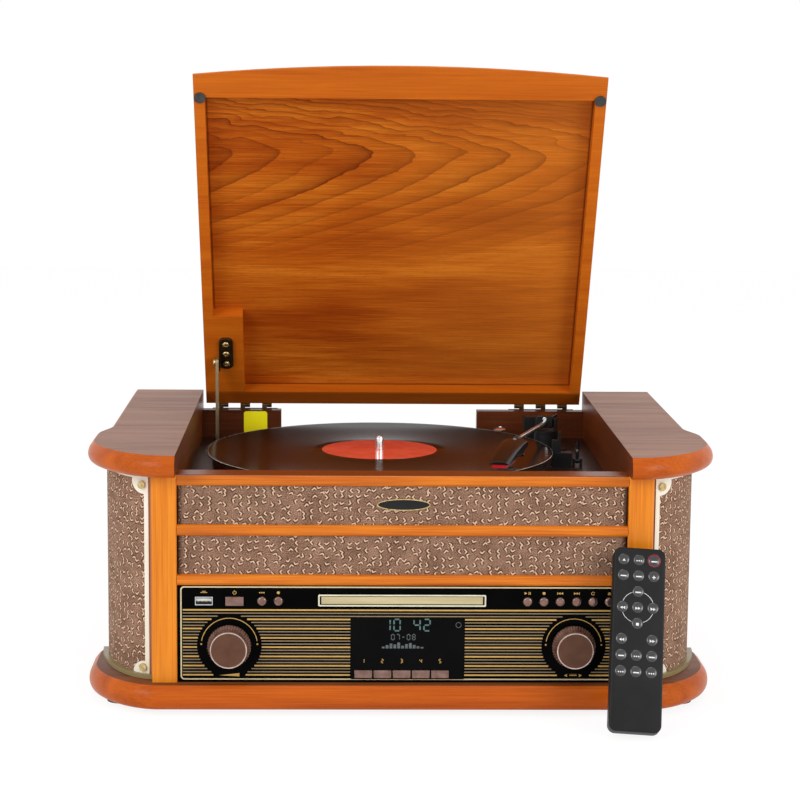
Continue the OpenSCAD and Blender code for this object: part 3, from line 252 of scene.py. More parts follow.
def make(name, shape, body, material, put=in_cabinet, bevel=0.0, smooth=35):
    """A piece from (points, faces), put in place, that rides on a body."""
    points, faces = shape
    mesh = bpy.data.meshes.new(name)
    mesh.from_pydata([put(p) for p in points], [], faces)
    mesh.validate()
    mesh.shade_smooth()
    mesh.set_sharp_from_angle(angle=math.radians(smooth))
    mesh.materials.append(material)
    piece = bpy.data.objects.new(name, mesh)
    bpy.context.scene.collection.objects.link(piece)
    if bevel:
        rounding = piece.modifiers.new("rounding", "BEVEL")
        rounding.width = bevel / 1000
        rounding.segments = 3
        rounding.limit_method = "ANGLE"
        rounding.angle_limit = math.radians(35)
        rounding.use_clamp_overlap = True
    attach(piece, body)
    return piece


def veneer_top(board, material):
    """Gives the last face of a lofted board, its top, a finish of its own."""
    board.data.materials.append(material)
    board.data.polygons[len(board.data.polygons) - 1].material_index = len(board.data.materials) - 1


def loft(rings):
    """A closed skin through rings of equal point count, from the lowest up."""
    count = len(rings[0])
    points = [p for ring in rings for p in ring]
    faces = [tuple(reversed(range(count)))]
    for r in range(len(rings) - 1):
        for i in range(count):
            a, b = r * count + i, r * count + (i + 1) % count
            faces.append((a, b, b + count, a + count))
    faces.append(tuple(range(len(points) - count, len(points))))
    return points, faces


base_low, base_high = (1000 * corner.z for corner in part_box("base_plinth"))
base_front, base_corner_x, base_bulge = -8, 195, 6
board_wide, board_narrow, cabinet_depth = 250.5, 241.5, 352.6
corner_fullness = 1.75
flare_start, flare_end, corner_y = 92, 134, 62
base_edge = [(0, 0.35), (0.08, 0.7), (0.25, 0.95), (0.46, 1), (0.72, 0.8), (0.92, 0.32), (1, 0)]


def corner_line(x, y, wide, deep, steps=44):
    """The full, rounded front corner, from straight ahead round to the side."""
    turns = [math.pi / 2 * i / steps for i in range(steps + 1)]
    power = 2 / corner_fullness
    return [(x + wide * math.sin(t) ** power, y - deep * max(math.cos(t), 0) ** power)
            for t in turns]


def flare_line(wide, narrow, steps=16):
    """The side's soft step from the wide front to the narrow back."""
    return [(wide + (narrow - wide) * (1 - math.cos(math.pi * i / steps)) / 2,
             flare_start + (flare_end - flare_start) * i / steps) for i in range(1, steps + 1)]


def board_line(corner_x, front, wide, narrow, grow):
    """Right-hand edge of a board, from its straight front to its back corner."""
    return (corner_line(corner_x, corner_y, wide - corner_x + grow, corner_y - front + grow)
            + [(wide + grow, flare_start)] + flare_line(wide + grow, narrow + grow)
            + [(narrow + grow, cabinet_depth)])


def swelling(knots, steps=4):
    """A smooth edge profile through knots of (share of thickness, share of swelling)."""
    profile = []
    for i in range(len(knots) - 1):
        before, start, end, after = (knots[max(i - 1, 0)], knots[i], knots[i + 1],
                                     knots[min(i + 2, len(knots) - 1)])
        for k in range(steps):
            t = k / steps
            profile.append(tuple(
                0.5 * (2 * b + (c - a) * t + (2 * a - 5 * b + 4 * c - d) * t * t
                       + (3 * b - a - 3 * c + d) * t ** 3)
                for a, b, c, d in zip(before, start, end, after)))
    return profile + [knots[-1]]


def edged_board(line, low, high, bulge, knots):
    return loft([[(x, y, low + h * (high - low)) for x, y in line(min(w, 1) * bulge)]
                 for h, w in swelling(knots)])


def base_line(grow):
    half = board_line(base_corner_x, base_front, board_wide, board_narrow, grow)
    return half + [(-x, y) for x, y in reversed(half)]


base = make("base_board", edged_board(base_line, base_low, base_high, base_bulge, base_edge),
            "cabinet", edge_wood, smooth=40)
veneer_top(base, wood("base_top_wood", (128, 72, 36), (84, 44, 18), along_x, gloss=0.42))
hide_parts("base_plinth")

# ---- Rubber feet
# Four low discs of moulded black rubber, fixed under the base board. They keep the cabinet
# clear of the table.


def mottled(name, roughness, low, high, patch, grain=0.0, depth=0.0, **sockets):
    """A finish whose colour wanders in patches between two tones, over a fine relief."""
    finish = Finish(name, roughness, **sockets)
    point = finish.place()
    if grain:
        finish.relief(finish.cloud(point, grain), depth)
    return finish.colour(finish.ramp(finish.cloud(point, patch), (0.3, stain(*low)), (0.7, stain(*high))))


rubber = mottled("rubber", 0.75, (26, 26, 26), (40, 39, 38), 8, 0.6, 0.05)
dress("feet", rubber)

# ---- Front frame
# Two posts and three rails of pale, orange-stained wood. The grain runs up the posts and
# along the rails, and the front edges are rounded.
well_half, top_shade_depth = 179.6, 0.9
frame_wood = Finish("frame_wood", 0.3, Specular_IOR_Level=0.22, Coat_Weight=0.06, Coat_Roughness=0.2)
flat_point = frame_wood.place()
frame_parts = frame_wood.add("SeparateXYZ", {0: flat_point})
in_post = frame_wood.sum("GREATER_THAN", frame_wood.sum("ABSOLUTE", frame_parts), well_half)
grain_point = frame_wood.mix(in_post, flat_point, frame_wood.place(along_z))
frame_tone = frame_wood.cloud(grain_point, (120, 9, 9), 4, 0.4)
frame_fibre = frame_wood.cloud(grain_point, (70, 0.9, 0.9), 5)
frame_both = frame_wood.sum("MULTIPLY_ADD", frame_fibre, 0.5, frame_wood.product(frame_tone, 0.5))
rail_colour = frame_wood.ramp(frame_both, (0.34, stain(178, 80, 14)), (0.66, stain(232, 134, 32)))
post_colour = frame_wood.ramp(frame_both, (0.34, stain(206, 108, 16)), (0.66, stain(240, 148, 36)))
frame_wood.relief(frame_fibre, 0.05)
# Painted shade: the top face of the upper rail is mixed towards dark brown.
painted_top_shade = frame_wood.sum("GREATER_THAN", frame_parts.node.outputs[2],
                        1000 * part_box("front_frame")[1].z - top_shade_depth)
rail_colour = frame_wood.mix(painted_top_shade, rail_colour, stain(116, 54, 18))
dress("front_frame", frame_wood.colour(frame_wood.mix(in_post, rail_colour, post_colour)))

# ---- Grille cloth
# Taupe cloth with small raised commas of beige yarn, each with a dark shadow beside it. It
# is glued over flat boards between the rails and over a bent board at each side.
fleck_pitch, fleck_scatter, squareness = 6.2, 0.72, 7.0


# light scales all the cloth's colours: painted shade, so that copies of one cloth come out darker by
# different amounts.
def grille_cloth(across, up, finish, light, shade=0.0):
    flat = finish.add("CombineXYZ", {0: across, 1: up})
    cell_point = finish.stretched(flat, fleck_pitch, fleck_pitch, 1)

    def cell(output):
        return finish.add("TexVoronoi", {"Vector": cell_point, "Scale": 1.0, "Randomness": fleck_scatter},
                          out=output, voronoi_dimensions="2D")

    chance = finish.add("SeparateColor", {0: cell("Color")})
    lean = finish.sum("MULTIPLY_ADD", chance.node.outputs[1], 0.7, 0.6)
    quarter = finish.sum("MULTIPLY_ADD", finish.sum("FLOOR", finish.product(chance, 4.0)), math.pi / 2, lean)
    offset = finish.add("VectorMath", {0: cell_point, 1: cell("Position")}, operation="SUBTRACT")
    turned = finish.add("VectorRotate", {"Vector": offset, "Angle": quarter}, rotation_type="Z_AXIS")
    parts = finish.add("SeparateXYZ", {0: turned})
    height = parts.node.outputs[1]

    def steep(value):
        return finish.sum("POWER", finish.sum("ABSOLUTE", value), squareness)

    def hook(shift_x, shift_y, radius, width, reach):
        """1 on a short bent stroke, fading at its edges."""
        x = finish.sum("ADD", parts, shift_x)
        y = finish.sum("ADD", height, shift_y)
        bend = finish.sum("POWER", finish.sum("ADD", steep(x), steep(y)), 1 / squareness)
        away = finish.sum("ABSOLUTE", finish.sum("SUBTRACT", bend, radius))
        end = finish.sum("MINIMUM", finish.sum("ADD", x, 0.12), y)
        return finish.product(finish.span(away, width, width * 0.4), finish.span(end, -reach, 0.05 - reach))

    yarn = hook(0.08, 0.16, 0.31, 0.115, 0.03)
    shadow = finish.sum("MAXIMUM", hook(0.08, 0.16, 0.16, 0.08, 0.02), hook(0.1, 0.18, 0.48, 0.09, -0.02))
    weave = finish.cloud(flat, (0.95, 0.8, 1), 2)
    tone = finish.cloud(flat, (16, 16, 1), 2)

    # A colour scaled by the painted-shade factor light.
    def lit(*colour):
        return stain(*(light * c for c in colour))

    ground = finish.ramp(finish.sum("MULTIPLY_ADD", weave, 0.75, finish.product(tone, 0.25)),
                         (0.32, lit(74, 48, 36)), (0.5, lit(146, 110, 88)), (0.68, lit(204, 164, 140)))
    dark = finish.mix(finish.product(shadow, 0.95), ground, stain(46, 26, 20))
    finish.relief(finish.sum("ADD", yarn, finish.product(weave, 0.4)), 0.25)
    # shade mixes the cloth towards dark brown: painted shade.
    return finish.colour(finish.mix(shade, finish.mix(yarn, dark, lit(244, 206, 172)), stain(38, 22, 14)))


front_cloth = Finish("front_cloth", 0.85, Specular_IOR_Level=0.2)
front_parts = front_cloth.add("SeparateXYZ", {0: front_cloth.place()})
# Painted shade: the front cloth darkens over its last 3.5 mm beside each post, and its colours are scaled by
# 0.92.
painted_end_shade = front_cloth.span(front_cloth.sum("ABSOLUTE", front_parts), 174.5, 178.0, 0.0, 0.8)
dress("front_grilles", grille_cloth(front_parts, front_parts.node.outputs[2], front_cloth, 0.92, painted_end_shade))

side_cloth = Finish("side_cloth", 0.85, Specular_IOR_Level=0.2)
side_parts = side_cloth.add("SeparateXYZ", {0: side_cloth.add(
    "Attribute", out="Vector", attribute_name="cloth_place")})
# Painted shade: the side cloth's colours are scaled by 0.96.
grille_cloth(side_parts, side_parts.node.outputs[1], side_cloth, 0.96)
post_outer, grille_half, grille_back, grille_front, board_thickness = 199.8, 243.9, 98, 13, 3
grille_low, grille_high = (1000 * corner.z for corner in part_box("side_grille_left"))
for side, node in ((-1, "side_grille_left"), (1, "side_grille_right")):
    outer, inner = (corner_line(post_outer, grille_back, grille_half - post_outer - inward,
                                grille_back - grille_front - inward, 60) for inward in (0, board_thickness))
    outline = outer + inner[::-1]
    if side < 0:
        outline = [(-x, y) for x, y in reversed(outline)]
    grille = make(node + "_cloth", loft([[(x, y, z) for x, y in outline] for z in (grille_low, grille_high)]),
                  "cabinet", side_cloth.material, smooth=30)
    lengths = [0.0]
    for last, point in zip(outline, outline[1:]):
        lengths.append(lengths[-1] + math.dist(last, point))
    place = grille.data.attributes.new("cloth_place", "FLOAT_VECTOR", "POINT")
    for i, vertex in enumerate(grille.data.vertices):
        place.data[i].vector = (lengths[i % len(outline)], 1000 * vertex.co.z, 0)
    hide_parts(node)

# ---- Grille trims
# Cream-painted frames with a round ear at each front corner, held by brass screws. The rebate
# beside the post is coloured as the post's wood with painted shade, and the foot along the base
# is a darker cream, a painted shade.
foot_height_over_base, rebate_reach = 4.02, 202.75
cream_paint = Finish("cream_paint", 0.35, Coat_Weight=0.2)
cream_point = cream_paint.place()
cream_parts = cream_paint.add("SeparateXYZ", {0: cream_point})
cream_paint.relief(cream_paint.cloud(cream_point, 1.5), 0.02)
cream_tone = cream_paint.ramp(cream_paint.cloud(cream_point, (30, 30, 60)),
                              (0.3, stain(240, 236, 214)), (0.7, stain(252, 250, 238)))
# Painted shade: the foot along the base is mixed towards a darker cream.
painted_foot_shade = cream_paint.sum("LESS_THAN", cream_parts.node.outputs[2], base_high + foot_height_over_base)
# The rebate beside the post is coloured as the post's wood in shade: partly wood colour, partly painted
# shade.
beside_post = cream_paint.sum("LESS_THAN", cream_paint.sum("ABSOLUTE", cream_parts), rebate_reach)
rebate_wood_and_shade = cream_paint.product(beside_post, cream_paint.sum("SUBTRACT", 1.0, painted_foot_shade))
cream_tone = cream_paint.mix(painted_foot_shade, cream_tone, stain(146, 130, 86))
dress("grille_trims", cream_paint.colour(cream_paint.mix(rebate_wood_and_shade, cream_tone, stain(178, 112, 58))))

# ---- Side walls, lining and wing boards
# Boards stained red-brown. The wing boards have the same swelling edge as the base, and a
# darker veneer on top with the grain across.
wall_wood = wood("wall_wood", (142, 66, 26), (88, 36, 14), along_y)
veneer = wood("veneer", (162, 116, 92), (98, 56, 38), along_x, gloss=0.42)
lining_wood = wood("lining_wood", (122, 60, 24), (76, 34, 12), along_y)
for node in ("side_wall_left", "side_wall_right"):
    dress(node, wall_wood)
dress("well_walls", lining_wood)
wing_low, wing_high = (1000 * corner.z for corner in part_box("wing_left"))
wing_front, wing_corner_x, wing_wide, wing_bulge = -15.7, 185, 250.4, 5.2
wing_edge = [(0, -0.1), (0.07, 0.4), (0.2, 0.82), (0.42, 1), (0.68, 0.8), (0.9, 0.3), (1, 0)]
for side, node in ((-1, "wing_left"), (1, "wing_right")):
    def wing_line(grow):
        line = ([(well_half, wing_front - grow)]
                + board_line(wing_corner_x, wing_front, wing_wide, board_narrow, grow)
                + [(well_half, cabinet_depth)])
        return [(-x, y) for x, y in reversed(line)] if side < 0 else line
    wing = make(node + "_board", edged_board(wing_line, wing_low, wing_high, wing_bulge, wing_edge),
                "cabinet", edge_wood, smooth=40)
    veneer_top(wing, veneer)
    wing.data.materials.append(lining_wood)
    for face in wing.data.polygons:
        if face.normal.x * side < -0.9:
            face.material_index = 2
    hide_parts(node)

# ---- Back panel and connector plate
# Dark brown board, notched at the top for air and cables; its brown is partly the wood's stain and
# partly painted shade. A black plastic plate over its opening carries two line jacks and the mains inlet.
dress("back_panel", wood("back_wood", (104, 50, 22), (66, 28, 12), along_x))
black_plastic = mottled("black_plastic", 0.42, (20, 20, 21), (34, 34, 35), 20, 0.5, 0.02,
                        Specular_IOR_Level=0.3)
dress("jack_panel", black_plastic)


def around(steps, radius=1.0):
    """Points on a circle about the middle."""
    return [(radius * math.cos(2 * math.pi * i / steps), radius * math.sin(2 * math.pi * i / steps))
            for i in range(steps)]


def turned_part(profile, steps=64):
    """A body of revolution about its own upright axis, from (radius, height) pairs. A profile
    that ends where it starts makes a ring."""
    points, faces = loft([[(x, y, h) for x, y in around(steps, r)] for r, h in profile])
    if profile[0] == profile[-1]:
        points = points[:-steps]
        faces = [tuple(i % len(points) for i in face) for face in faces[1:-1]]
    return points, faces


def facing(x, y, z, way=-1):
    """Puts a part whose own axis is upright so that it points out of the front or back."""
    return lambda p: in_cabinet((x + p[0], y + way * p[2], z + way * p[1]))


def shaded(colour, part):
    """A stain with only that part of its light."""
    return tuple(part * c for c in stain(*colour)[:3]) + (1,)


jack_z, jack_plate_y = 83, 355.1
jack_ring = [(4.3, 0), (6.2, 0), (6.2, 1), (5.6, 1.4), (4.3, 1.4), (4.3, 0)]
for name, x, colour in (("left_jack", -34, (235, 235, 230)), ("right_jack", -18, (190, 30, 28))):
    ring_plastic = Finish(name + "_plastic", 0.4)
    ring_point = ring_plastic.place()
    ring_plastic.relief(ring_plastic.cloud(ring_point, 1), 0.02)
    ring_plastic.colour(ring_plastic.ramp(ring_plastic.cloud(ring_point, 5), (0.2, shaded(colour, 0.8)),
                                          (0.7, stain(*colour))))
    make(name + "_ring", turned_part(jack_ring), "cabinet", ring_plastic.material,
         facing(x, jack_plate_y, jack_z, 1))

# ---- Record deck
# Dark brown moulded plate with a fine grain, screwed down inside the well, and a platter of
# turned aluminium on the spindle. The motor under the plate drives its ring by a belt.
dress("deck_plate", mottled("deck_plastic", 0.32, (30, 17, 12), (44, 26, 18), 60, 0.7, 0.03,
                            Specular_IOR_Level=0.3))
turned_metal = mottled("turned_metal", 0.3, (150, 150, 152), (205, 205, 208), (30, 30, 1), (2, 2, 0.3), 0.02,
                       Metallic=1.0)
for node, material in (("platter", turned_metal), ("platter_motor", turned_metal),
                       ("motor_pulley", turned_metal), ("drive_belt", rubber)):
    dress(node, material)

# ---- Record
# Glossy black vinyl with fine grooves in rings, a smooth run-out, and a round paper label in
# plain orange-red, pressed on in the middle.
spindle_x, spindle_y = -16, 178
record_low, record_top = (1000 * corner.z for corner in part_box("record"))
hole_r, label_r, groove_start, groove_end, groove_rate = 3.66, 50, 58, 147, 7.0


def on_spindle(p):
    return in_cabinet((spindle_x + p[0], spindle_y + p[1], p[2]))


vinyl = Finish("vinyl", 0.1, Specular_IOR_Level=0.05)
disc_point = vinyl.add("VectorMath", {0: vinyl.place(), 1: 1000 * on_spindle((0, 0, 0))},
                       operation="SUBTRACT")
disc_x = vinyl.add("SeparateXYZ", {0: disc_point})
disc_y = disc_x.node.outputs[1]
disc_radius = vinyl.sum("SQRT", vinyl.sum("MULTIPLY_ADD", disc_x, disc_x, vinyl.product(disc_y, disc_y)))
groove = vinyl.sum("SINE", vinyl.product(disc_radius, groove_rate))
bands = vinyl.cloud(vinyl.add("CombineXYZ", {0: disc_radius}), (3.2, 1, 1), 3)
playing = vinyl.product(vinyl.sum("GREATER_THAN", disc_radius, groove_start),
                        vinyl.sum("LESS_THAN", disc_radius, groove_end))
vinyl.relief(vinyl.product(playing, vinyl.sum("MULTIPLY_ADD", groove, 0.1, bands)), 0.004)
vinyl.feed(vinyl.shader.inputs["Roughness"], vinyl.sum("MULTIPLY_ADD", playing, 0.07, 0.08))
vinyl.colour(vinyl.ramp(bands, (0.3, stain(12, 12, 12)), (0.7, stain(24, 23, 23))))


def disc_part(name, profile, steps, material, smooth=35):
    """A ring about the spindle, its heights measured from the top of the record."""
    return make(name, turned_part([(r, record_top + h) for r, h in profile], steps), "turntable",
                material, on_spindle, smooth=smooth)


sunk = record_low - record_top
disc = disc_part("pressed_disc", [
    (hole_r, sunk), (149.4, sunk), (150.5, sunk + 0.35), (150.5, -0.5), (149.8, -0.1), (148.6, 0),
    (147.2, -0.2), (59, -0.2), (57, -0.1), (hole_r, -0.1), (hole_r, sunk)], 180, vinyl.material, 50)
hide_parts("record")

disc_part("record_label", [(3.7, -0.05), (label_r, -0.05), (label_r, 0.1), (3.7, 0.1), (3.7, -0.05)], 96,
          mottled("label_paper", 0.1, (240, 74, 60), (252, 98, 78), 12, 0.4, 0.002))
# A thin pale ring round the edge of the black record: a painted highlight.
disc_part("record_rim", [(150.55, 0.02), (150.85, -0.15), (150.85, -0.5), (150.6, -0.2), (150.4, -0.05),
                         (150.55, 0.02)], 180,
          mottled("painted_rim_highlight", 0.12, (120, 110, 100), (200, 190, 175), 6, Metallic=0.3))
chrome = mottled("chrome", 0.27, (232, 230, 226), (250, 249, 246), 4, 3, 0.005, Metallic=1.0)
spindle_tip = 1000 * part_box("platter")[1].z - record_top
disc_part("spindle_cap", [(3.5, 0.15), (3.62, 0.3), (3.62, spindle_tip - 1.6), (3.3, spindle_tip - 0.7),
                          (2.4, spindle_tip - 0.12), (0.05, spindle_tip)], 40, chrome)

# ---- Tonearm
# A black moulded base with the lift bridge, the rest and the cue lever. The arm is a silver
# tube between a black pivot block and a black headshell with a red cartridge.
arm_x, arm_y, arm_heading = 138, 270, math.radians(16.4)
arm_axle_z = record_top + 10.3
for node in ("tonearm_base", "tonearm_yoke", "cue_lever"):
    dress(node, black_plastic)
gloss_black = mottled("gloss_black", 0.26, (10, 10, 10), (24, 22, 21), 9, 6, 0.02, Specular_IOR_Level=0.3)


def at_arm(p):
    """From the arm's own place: sideways, behind its upright, and height above the table."""
    return in_cabinet((arm_x + p[0] * math.cos(arm_heading) + p[1] * math.sin(arm_heading),
                       arm_y - p[0] * math.sin(arm_heading) + p[1] * math.cos(arm_heading), p[2]))


def box_part(low, high):
    """A box between two corners."""
    return loft([[(low[0], low[1], z), (high[0], low[1], z), (high[0], high[1], z),
                  (low[0], high[1], z)] for z in (low[2], high[2])])


def joined(*shapes):
    points, faces = [], []
    for more_points, more_faces in shapes:
        faces += [tuple(len(points) + i for i in face) for face in more_faces]
        points += more_points
    return points, faces


def rod(start, end, radius, steps=24, end_radius=None):
    """A round bar between two points."""
    a, b = Vector(start), Vector(end)
    axis = (b - a).normalized()
    side = axis.orthogonal().normalized()
    other = axis.cross(side)
    return loft([[tuple(centre + r * (across * side + along * other)) for across, along in around(steps)]
                 for centre, r in ((a, radius), (b, end_radius or radius))])


tube_fall = math.tan(math.radians(2))


def on_tube(behind):
    """A point on the arm tube's middle line, which falls gently towards the headshell."""
    return 0, -behind, arm_axle_z + behind * tube_fall


pivot_block = make("arm_pivot_block", joined(
    box_part((-7.5, -8, arm_axle_z - 4), (7.5, 13, arm_axle_z + 7)),
    rod((-9.5, 0, arm_axle_z), (9.5, 0, arm_axle_z), 1.2)),
    "tonearm", gloss_black, at_arm, bevel=0.8)
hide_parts("tonearm_arm")
make("arm_pivot_screw", rod((0, -8.6, arm_axle_z + 3.8), (0, -7.9, arm_axle_z + 3.8), 1.9),
     "tonearm", chrome, at_arm, bevel=0.3)
make("arm_tube", rod(on_tube(7), on_tube(139), 2), "tonearm",
     mottled("tube_metal", 0.22, (170, 160, 150), (214, 206, 198), 10, (0.6, 0.6, 20), 0.01, Metallic=0.9),
     at_arm)
make("arm_collar", rod(on_tube(125), on_tube(136), 3.1), "tonearm", black_plastic, at_arm,
     bevel=0.5)
shell_side = [(134, 10), (152, 6.6), (201, 4.4), (201, 7), (190, 9.6), (174, 13), (150, 16), (134, 16.5)]


def shell_slice(share):
    """Side outline of the headshell at a share of its half width, lower towards its edges."""
    drop = 2.2 * abs(share) ** 3
    return [(share * (10.5 - 2 * (d - 134) / 67), -d, record_top + h - (drop if i > 2 else 0))
            for i, (d, h) in enumerate(shell_side)]


make("headshell", loft([shell_slice(-1 + k / 4) for k in range(9)]), "tonearm",
     gloss_black, at_arm, bevel=0.5, smooth=28)
lift_points = [(8.6, -178, record_top + 9), (15, -181, record_top + 9.6), (18, -186, record_top + 12)]
make("finger_lift", joined(*(rod(start, end, 0.7, 12) for start, end in zip(lift_points, lift_points[1:]))),
     "tonearm", gloss_black, at_arm)
dress("cartridge", mottled("red_plastic", 0.25, (190, 16, 26), (222, 30, 40), 8, 3, 0.01, Coat_Weight=0.3))
cue_x, cue_y = 158.4, 190
make("cue_lever_band", rod((cue_x, cue_y, 181), (cue_x, cue_y, 183.2), 1.55), "cue", chrome)
make("cue_lever_tip", rod((cue_x, cue_y, 187), (cue_x, cue_y, 190), 1.6, end_radius=1.2),
     "cue", gloss_black)

# ---- Yellow tag
# A plain yellow sticker of thin paper with rounded corners, glued to the inside of the back
# panel.
tag_front, tag_back = 340.4, 340.65


def soft_outline(low, high, radius, steps=6):
    """A flat rectangle with round corners, anticlockwise from its lower right corner."""
    corners = [((high[0] - radius, low[1] + radius), -90), ((high[0] - radius, high[1] - radius), 0),
               ((low[0] + radius, high[1] - radius), 90), ((low[0] + radius, low[1] + radius), 180)]
    return [(cx + radius * math.cos(math.radians(start + 90 * i / steps)),
             cz + radius * math.sin(math.radians(start + 90 * i / steps)))
            for (cx, cz), start in corners for i in range(steps + 1)]


def plate(outline, front, back):
    """An upright plate of the given outline in x and z, from its front to its back depth."""
    return loft([[(x, back, z) for x, z in outline], [(x, front, z) for x, z in outline]])


make("yellow_tag", plate(soft_outline((-141, 171.5), (-119, 192.5), 2.5), tag_front, tag_back), "cabinet",
     mottled("yellow_paper", 0.4, (254, 236, 0), (255, 246, 6), 15, 0.6, 0.01))

# ---- Lid
# A tray-shaped lid, shown from its underside: a lacquered frame round a thin board, with the
# veneer's flame figure running across it. The front edge of the lid bows outwards.
lid_open = math.radians(60)
hinge_y, hinge_z = cabinet_depth + 2.4, 1000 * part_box("wing_left")[0].z + 3.1
lid_rear = cabinet_depth - 0.6
hinge_line = 1000 * in_cabinet((0, hinge_y, hinge_z))


def on_lid(point):
    """A place on the closed lid, turned up with it."""
    y, z = point[1] - hinge_y, point[2] - hinge_z
    return in_cabinet((point[0], hinge_y + y * math.cos(lid_open) + z * math.sin(lid_open),
                       hinge_z - y * math.sin(lid_open) + z * math.cos(lid_open)))


def lid_point(finish):
    """The point turned back to the closed lid, in millimetres from the cabinet's middle."""
    back = Matrix.Rotation(lid_open, 3, "X")
    shift = hinge_line - back @ hinge_line
    return finish.place((lid_open, 0, 0), shift)


rim_wood = Finish("lid_frame_wood", 0.4, Specular_IOR_Level=0.16, Coat_Weight=0.02, Coat_Roughness=0.2)
rim_point = lid_point(rim_wood)
rim_fibre = rim_wood.cloud(rim_point, (60, 1.1, 1.1), 5)
rim_streak = rim_wood.cloud(rim_point, (150, 16, 16), 4, 0.6)
rim_tone = rim_wood.sum("MULTIPLY_ADD", rim_fibre, 0.45, rim_wood.product(rim_streak, 0.6))
rim_wood.relief(rim_fibre, 0.04)
# Painted shade: the frame is mixed towards dark brown over its last 12 to 15 mm at the rear.
rim_rear_painted_shade = rim_wood.span(rim_wood.add("SeparateXYZ", {0: rim_point}).node.outputs[1],
                         1000 * in_cabinet((0, lid_rear - 15, 0)).y,
                         1000 * in_cabinet((0, lid_rear - 12, 0)).y)
rim_colour = rim_wood.ramp(rim_tone, (0.32, stain(186, 86, 14)), (0.7, stain(216, 114, 22)))
dress("lid_frame", rim_wood.colour(rim_wood.mix(rim_wood.product(rim_rear_painted_shade, 0.6), rim_colour,
                                                stain(84, 36, 8))))

# The flame: nested arches about a point of the board, each a band that darkens to one edge.
flame_start, arch_pitch, panel_half, panel_rear_gap = 278, 40.0, 167.5, 14.0
figure = Finish("lid_veneer", 0.5, Specular_IOR_Level=0.08)
veneer_point = lid_point(figure)
veneer_parts = figure.add("SeparateXYZ", {0: veneer_point})
from_rear = figure.sum("SUBTRACT", 1000 * in_cabinet((0, lid_rear, 0)).y, veneer_parts.node.outputs[1])
waver = figure.cloud(veneer_point, (60, 26, 26), 3, 0.4)
ripple = figure.cloud(veneer_point, (10, 4, 4), 3)
flame_height = figure.sum("SUBTRACT", figure.sum("MULTIPLY_ADD", waver, 14.0, from_rear), flame_start)
above = figure.sum("POWER", figure.sum("MAXIMUM", flame_height, 0.0), 1.6)
below = figure.sum("POWER", figure.sum("MAXIMUM", figure.product(flame_height, -1.0), 0.0), 1.45)
flame = figure.sum("MULTIPLY_ADD", above, 0.5, figure.sum("MULTIPLY_ADD", below, 0.27, veneer_parts))
flame = figure.sum("MULTIPLY_ADD", waver, 44.0, figure.sum("MULTIPLY_ADD", ripple, 5.0, flame))
arch = figure.sum("DIVIDE", flame, arch_pitch)
arch_shade = figure.ramp(figure.sum("FRACT", arch), (0.0, 0.1), (0.4, 0.22), (0.8, 0.55), (0.92, 0.85),
                         (0.965, 1.0), (1.0, 0.15))
arch_number = figure.add("CombineXYZ", {0: figure.sum("FLOOR", arch)})
arch_strength = figure.span(figure.cloud(arch_number, (0.37, 1, 1), 0), 0.3, 0.7, 0.45, 1.0)
fibre = figure.cloud(veneer_point, (36, 0.8, 0.8), 5)
streak = figure.cloud(veneer_point, (120, 5, 5), 4, 0.8)
broad = figure.cloud(veneer_point, (240, 44, 44), 2, 0.5)
plain = figure.sum("MULTIPLY_ADD", fibre, 0.35,
                   figure.sum("MULTIPLY_ADD", streak, 0.2, figure.product(broad, 0.45)))
veneer_base = figure.ramp(plain, (0.36, stain(160, 66, 10)), (0.5, stain(196, 96, 20)),
                          (0.62, stain(224, 128, 34)))
flame_share = figure.span(from_rear, 150.0, 240.0, 0.1, 1.0)
darkened = figure.mix(figure.product(arch_shade, arch_strength, flame_share), veneer_base,
                      stain(112, 40, 6))
pore = figure.ramp(figure.cloud(veneer_point, (8, 0.5, 0.5), 2), (0.6, 0.0), (0.7, 1.0))
figure.relief(fibre, 0.03)
# Painted light: the veneer is mixed towards a pale orange towards the right.
painted_light_right = figure.span(veneer_parts, -60.0, 170.0, 0.0, 0.2)
figure_and_painted_light = figure.mix(painted_light_right, figure.mix(figure.product(pore, 0.4), darkened, stain(112, 44, 10)),
                   stain(250, 160, 62))
# Painted shade: a dark brown band on the underside along the panel's sides and rear edge, beside the frame.
to_frame = figure.sum("MINIMUM", figure.sum("SUBTRACT", panel_half, figure.sum("ABSOLUTE", veneer_parts)),
                      figure.sum("SUBTRACT", from_rear, panel_rear_gap))
painted_edge_shade = figure.span(to_frame, 0.5, 2.2, 0.75, 0.0)
underside = figure.sum("LESS_THAN", veneer_parts.node.outputs[2],
                       1000 * in_cabinet((0, 0, wing_high - 2)).z)
dress("lid_panel", figure.colour(figure.mix(figure.product(painted_edge_shade, underside), figure_and_painted_light, stain(70, 24, 6))))
dress("lid_bumpers", mottled("bumper_rubber", 0.6, (48, 48, 46), (70, 70, 67), 5, 1, 0.03))

# ---- Hinges and stay
# Bronzed steel hinges of alternating knuckles, and a flat stay strip that hangs from a small
# bracket, screwed to the block at the left of the lid.
bronze = mottled("bronze", 0.35, (52, 38, 24), (98, 76, 48), 5, 0.8, 0.03, Metallic=0.8)
for node in ("hinge_leaves_lower", "hinge_leaves_upper", "stay_bracket"):
    dress(node, bronze)
dress("stay_arm", mottled("strip_metal", 0.3, (150, 130, 96), (196, 176, 138), (3, 3, 30), (0.5, 0.5, 12),
                          0.02, Metallic=0.8))
brass = mottled("brass", 0.25, (170, 140, 84), (222, 200, 150), 3, 1, 0.02, Metallic=0.85)
lid_under = 1000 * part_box("wing_left")[0].z + 1.5
stay_x, bracket_z = -164.8, lid_under - 1.5
plate_x, plate_y, plate_half_width, plate_half_length = stay_x + 1.7 + 6.5, lid_rear - 60, 6.6, 17.6


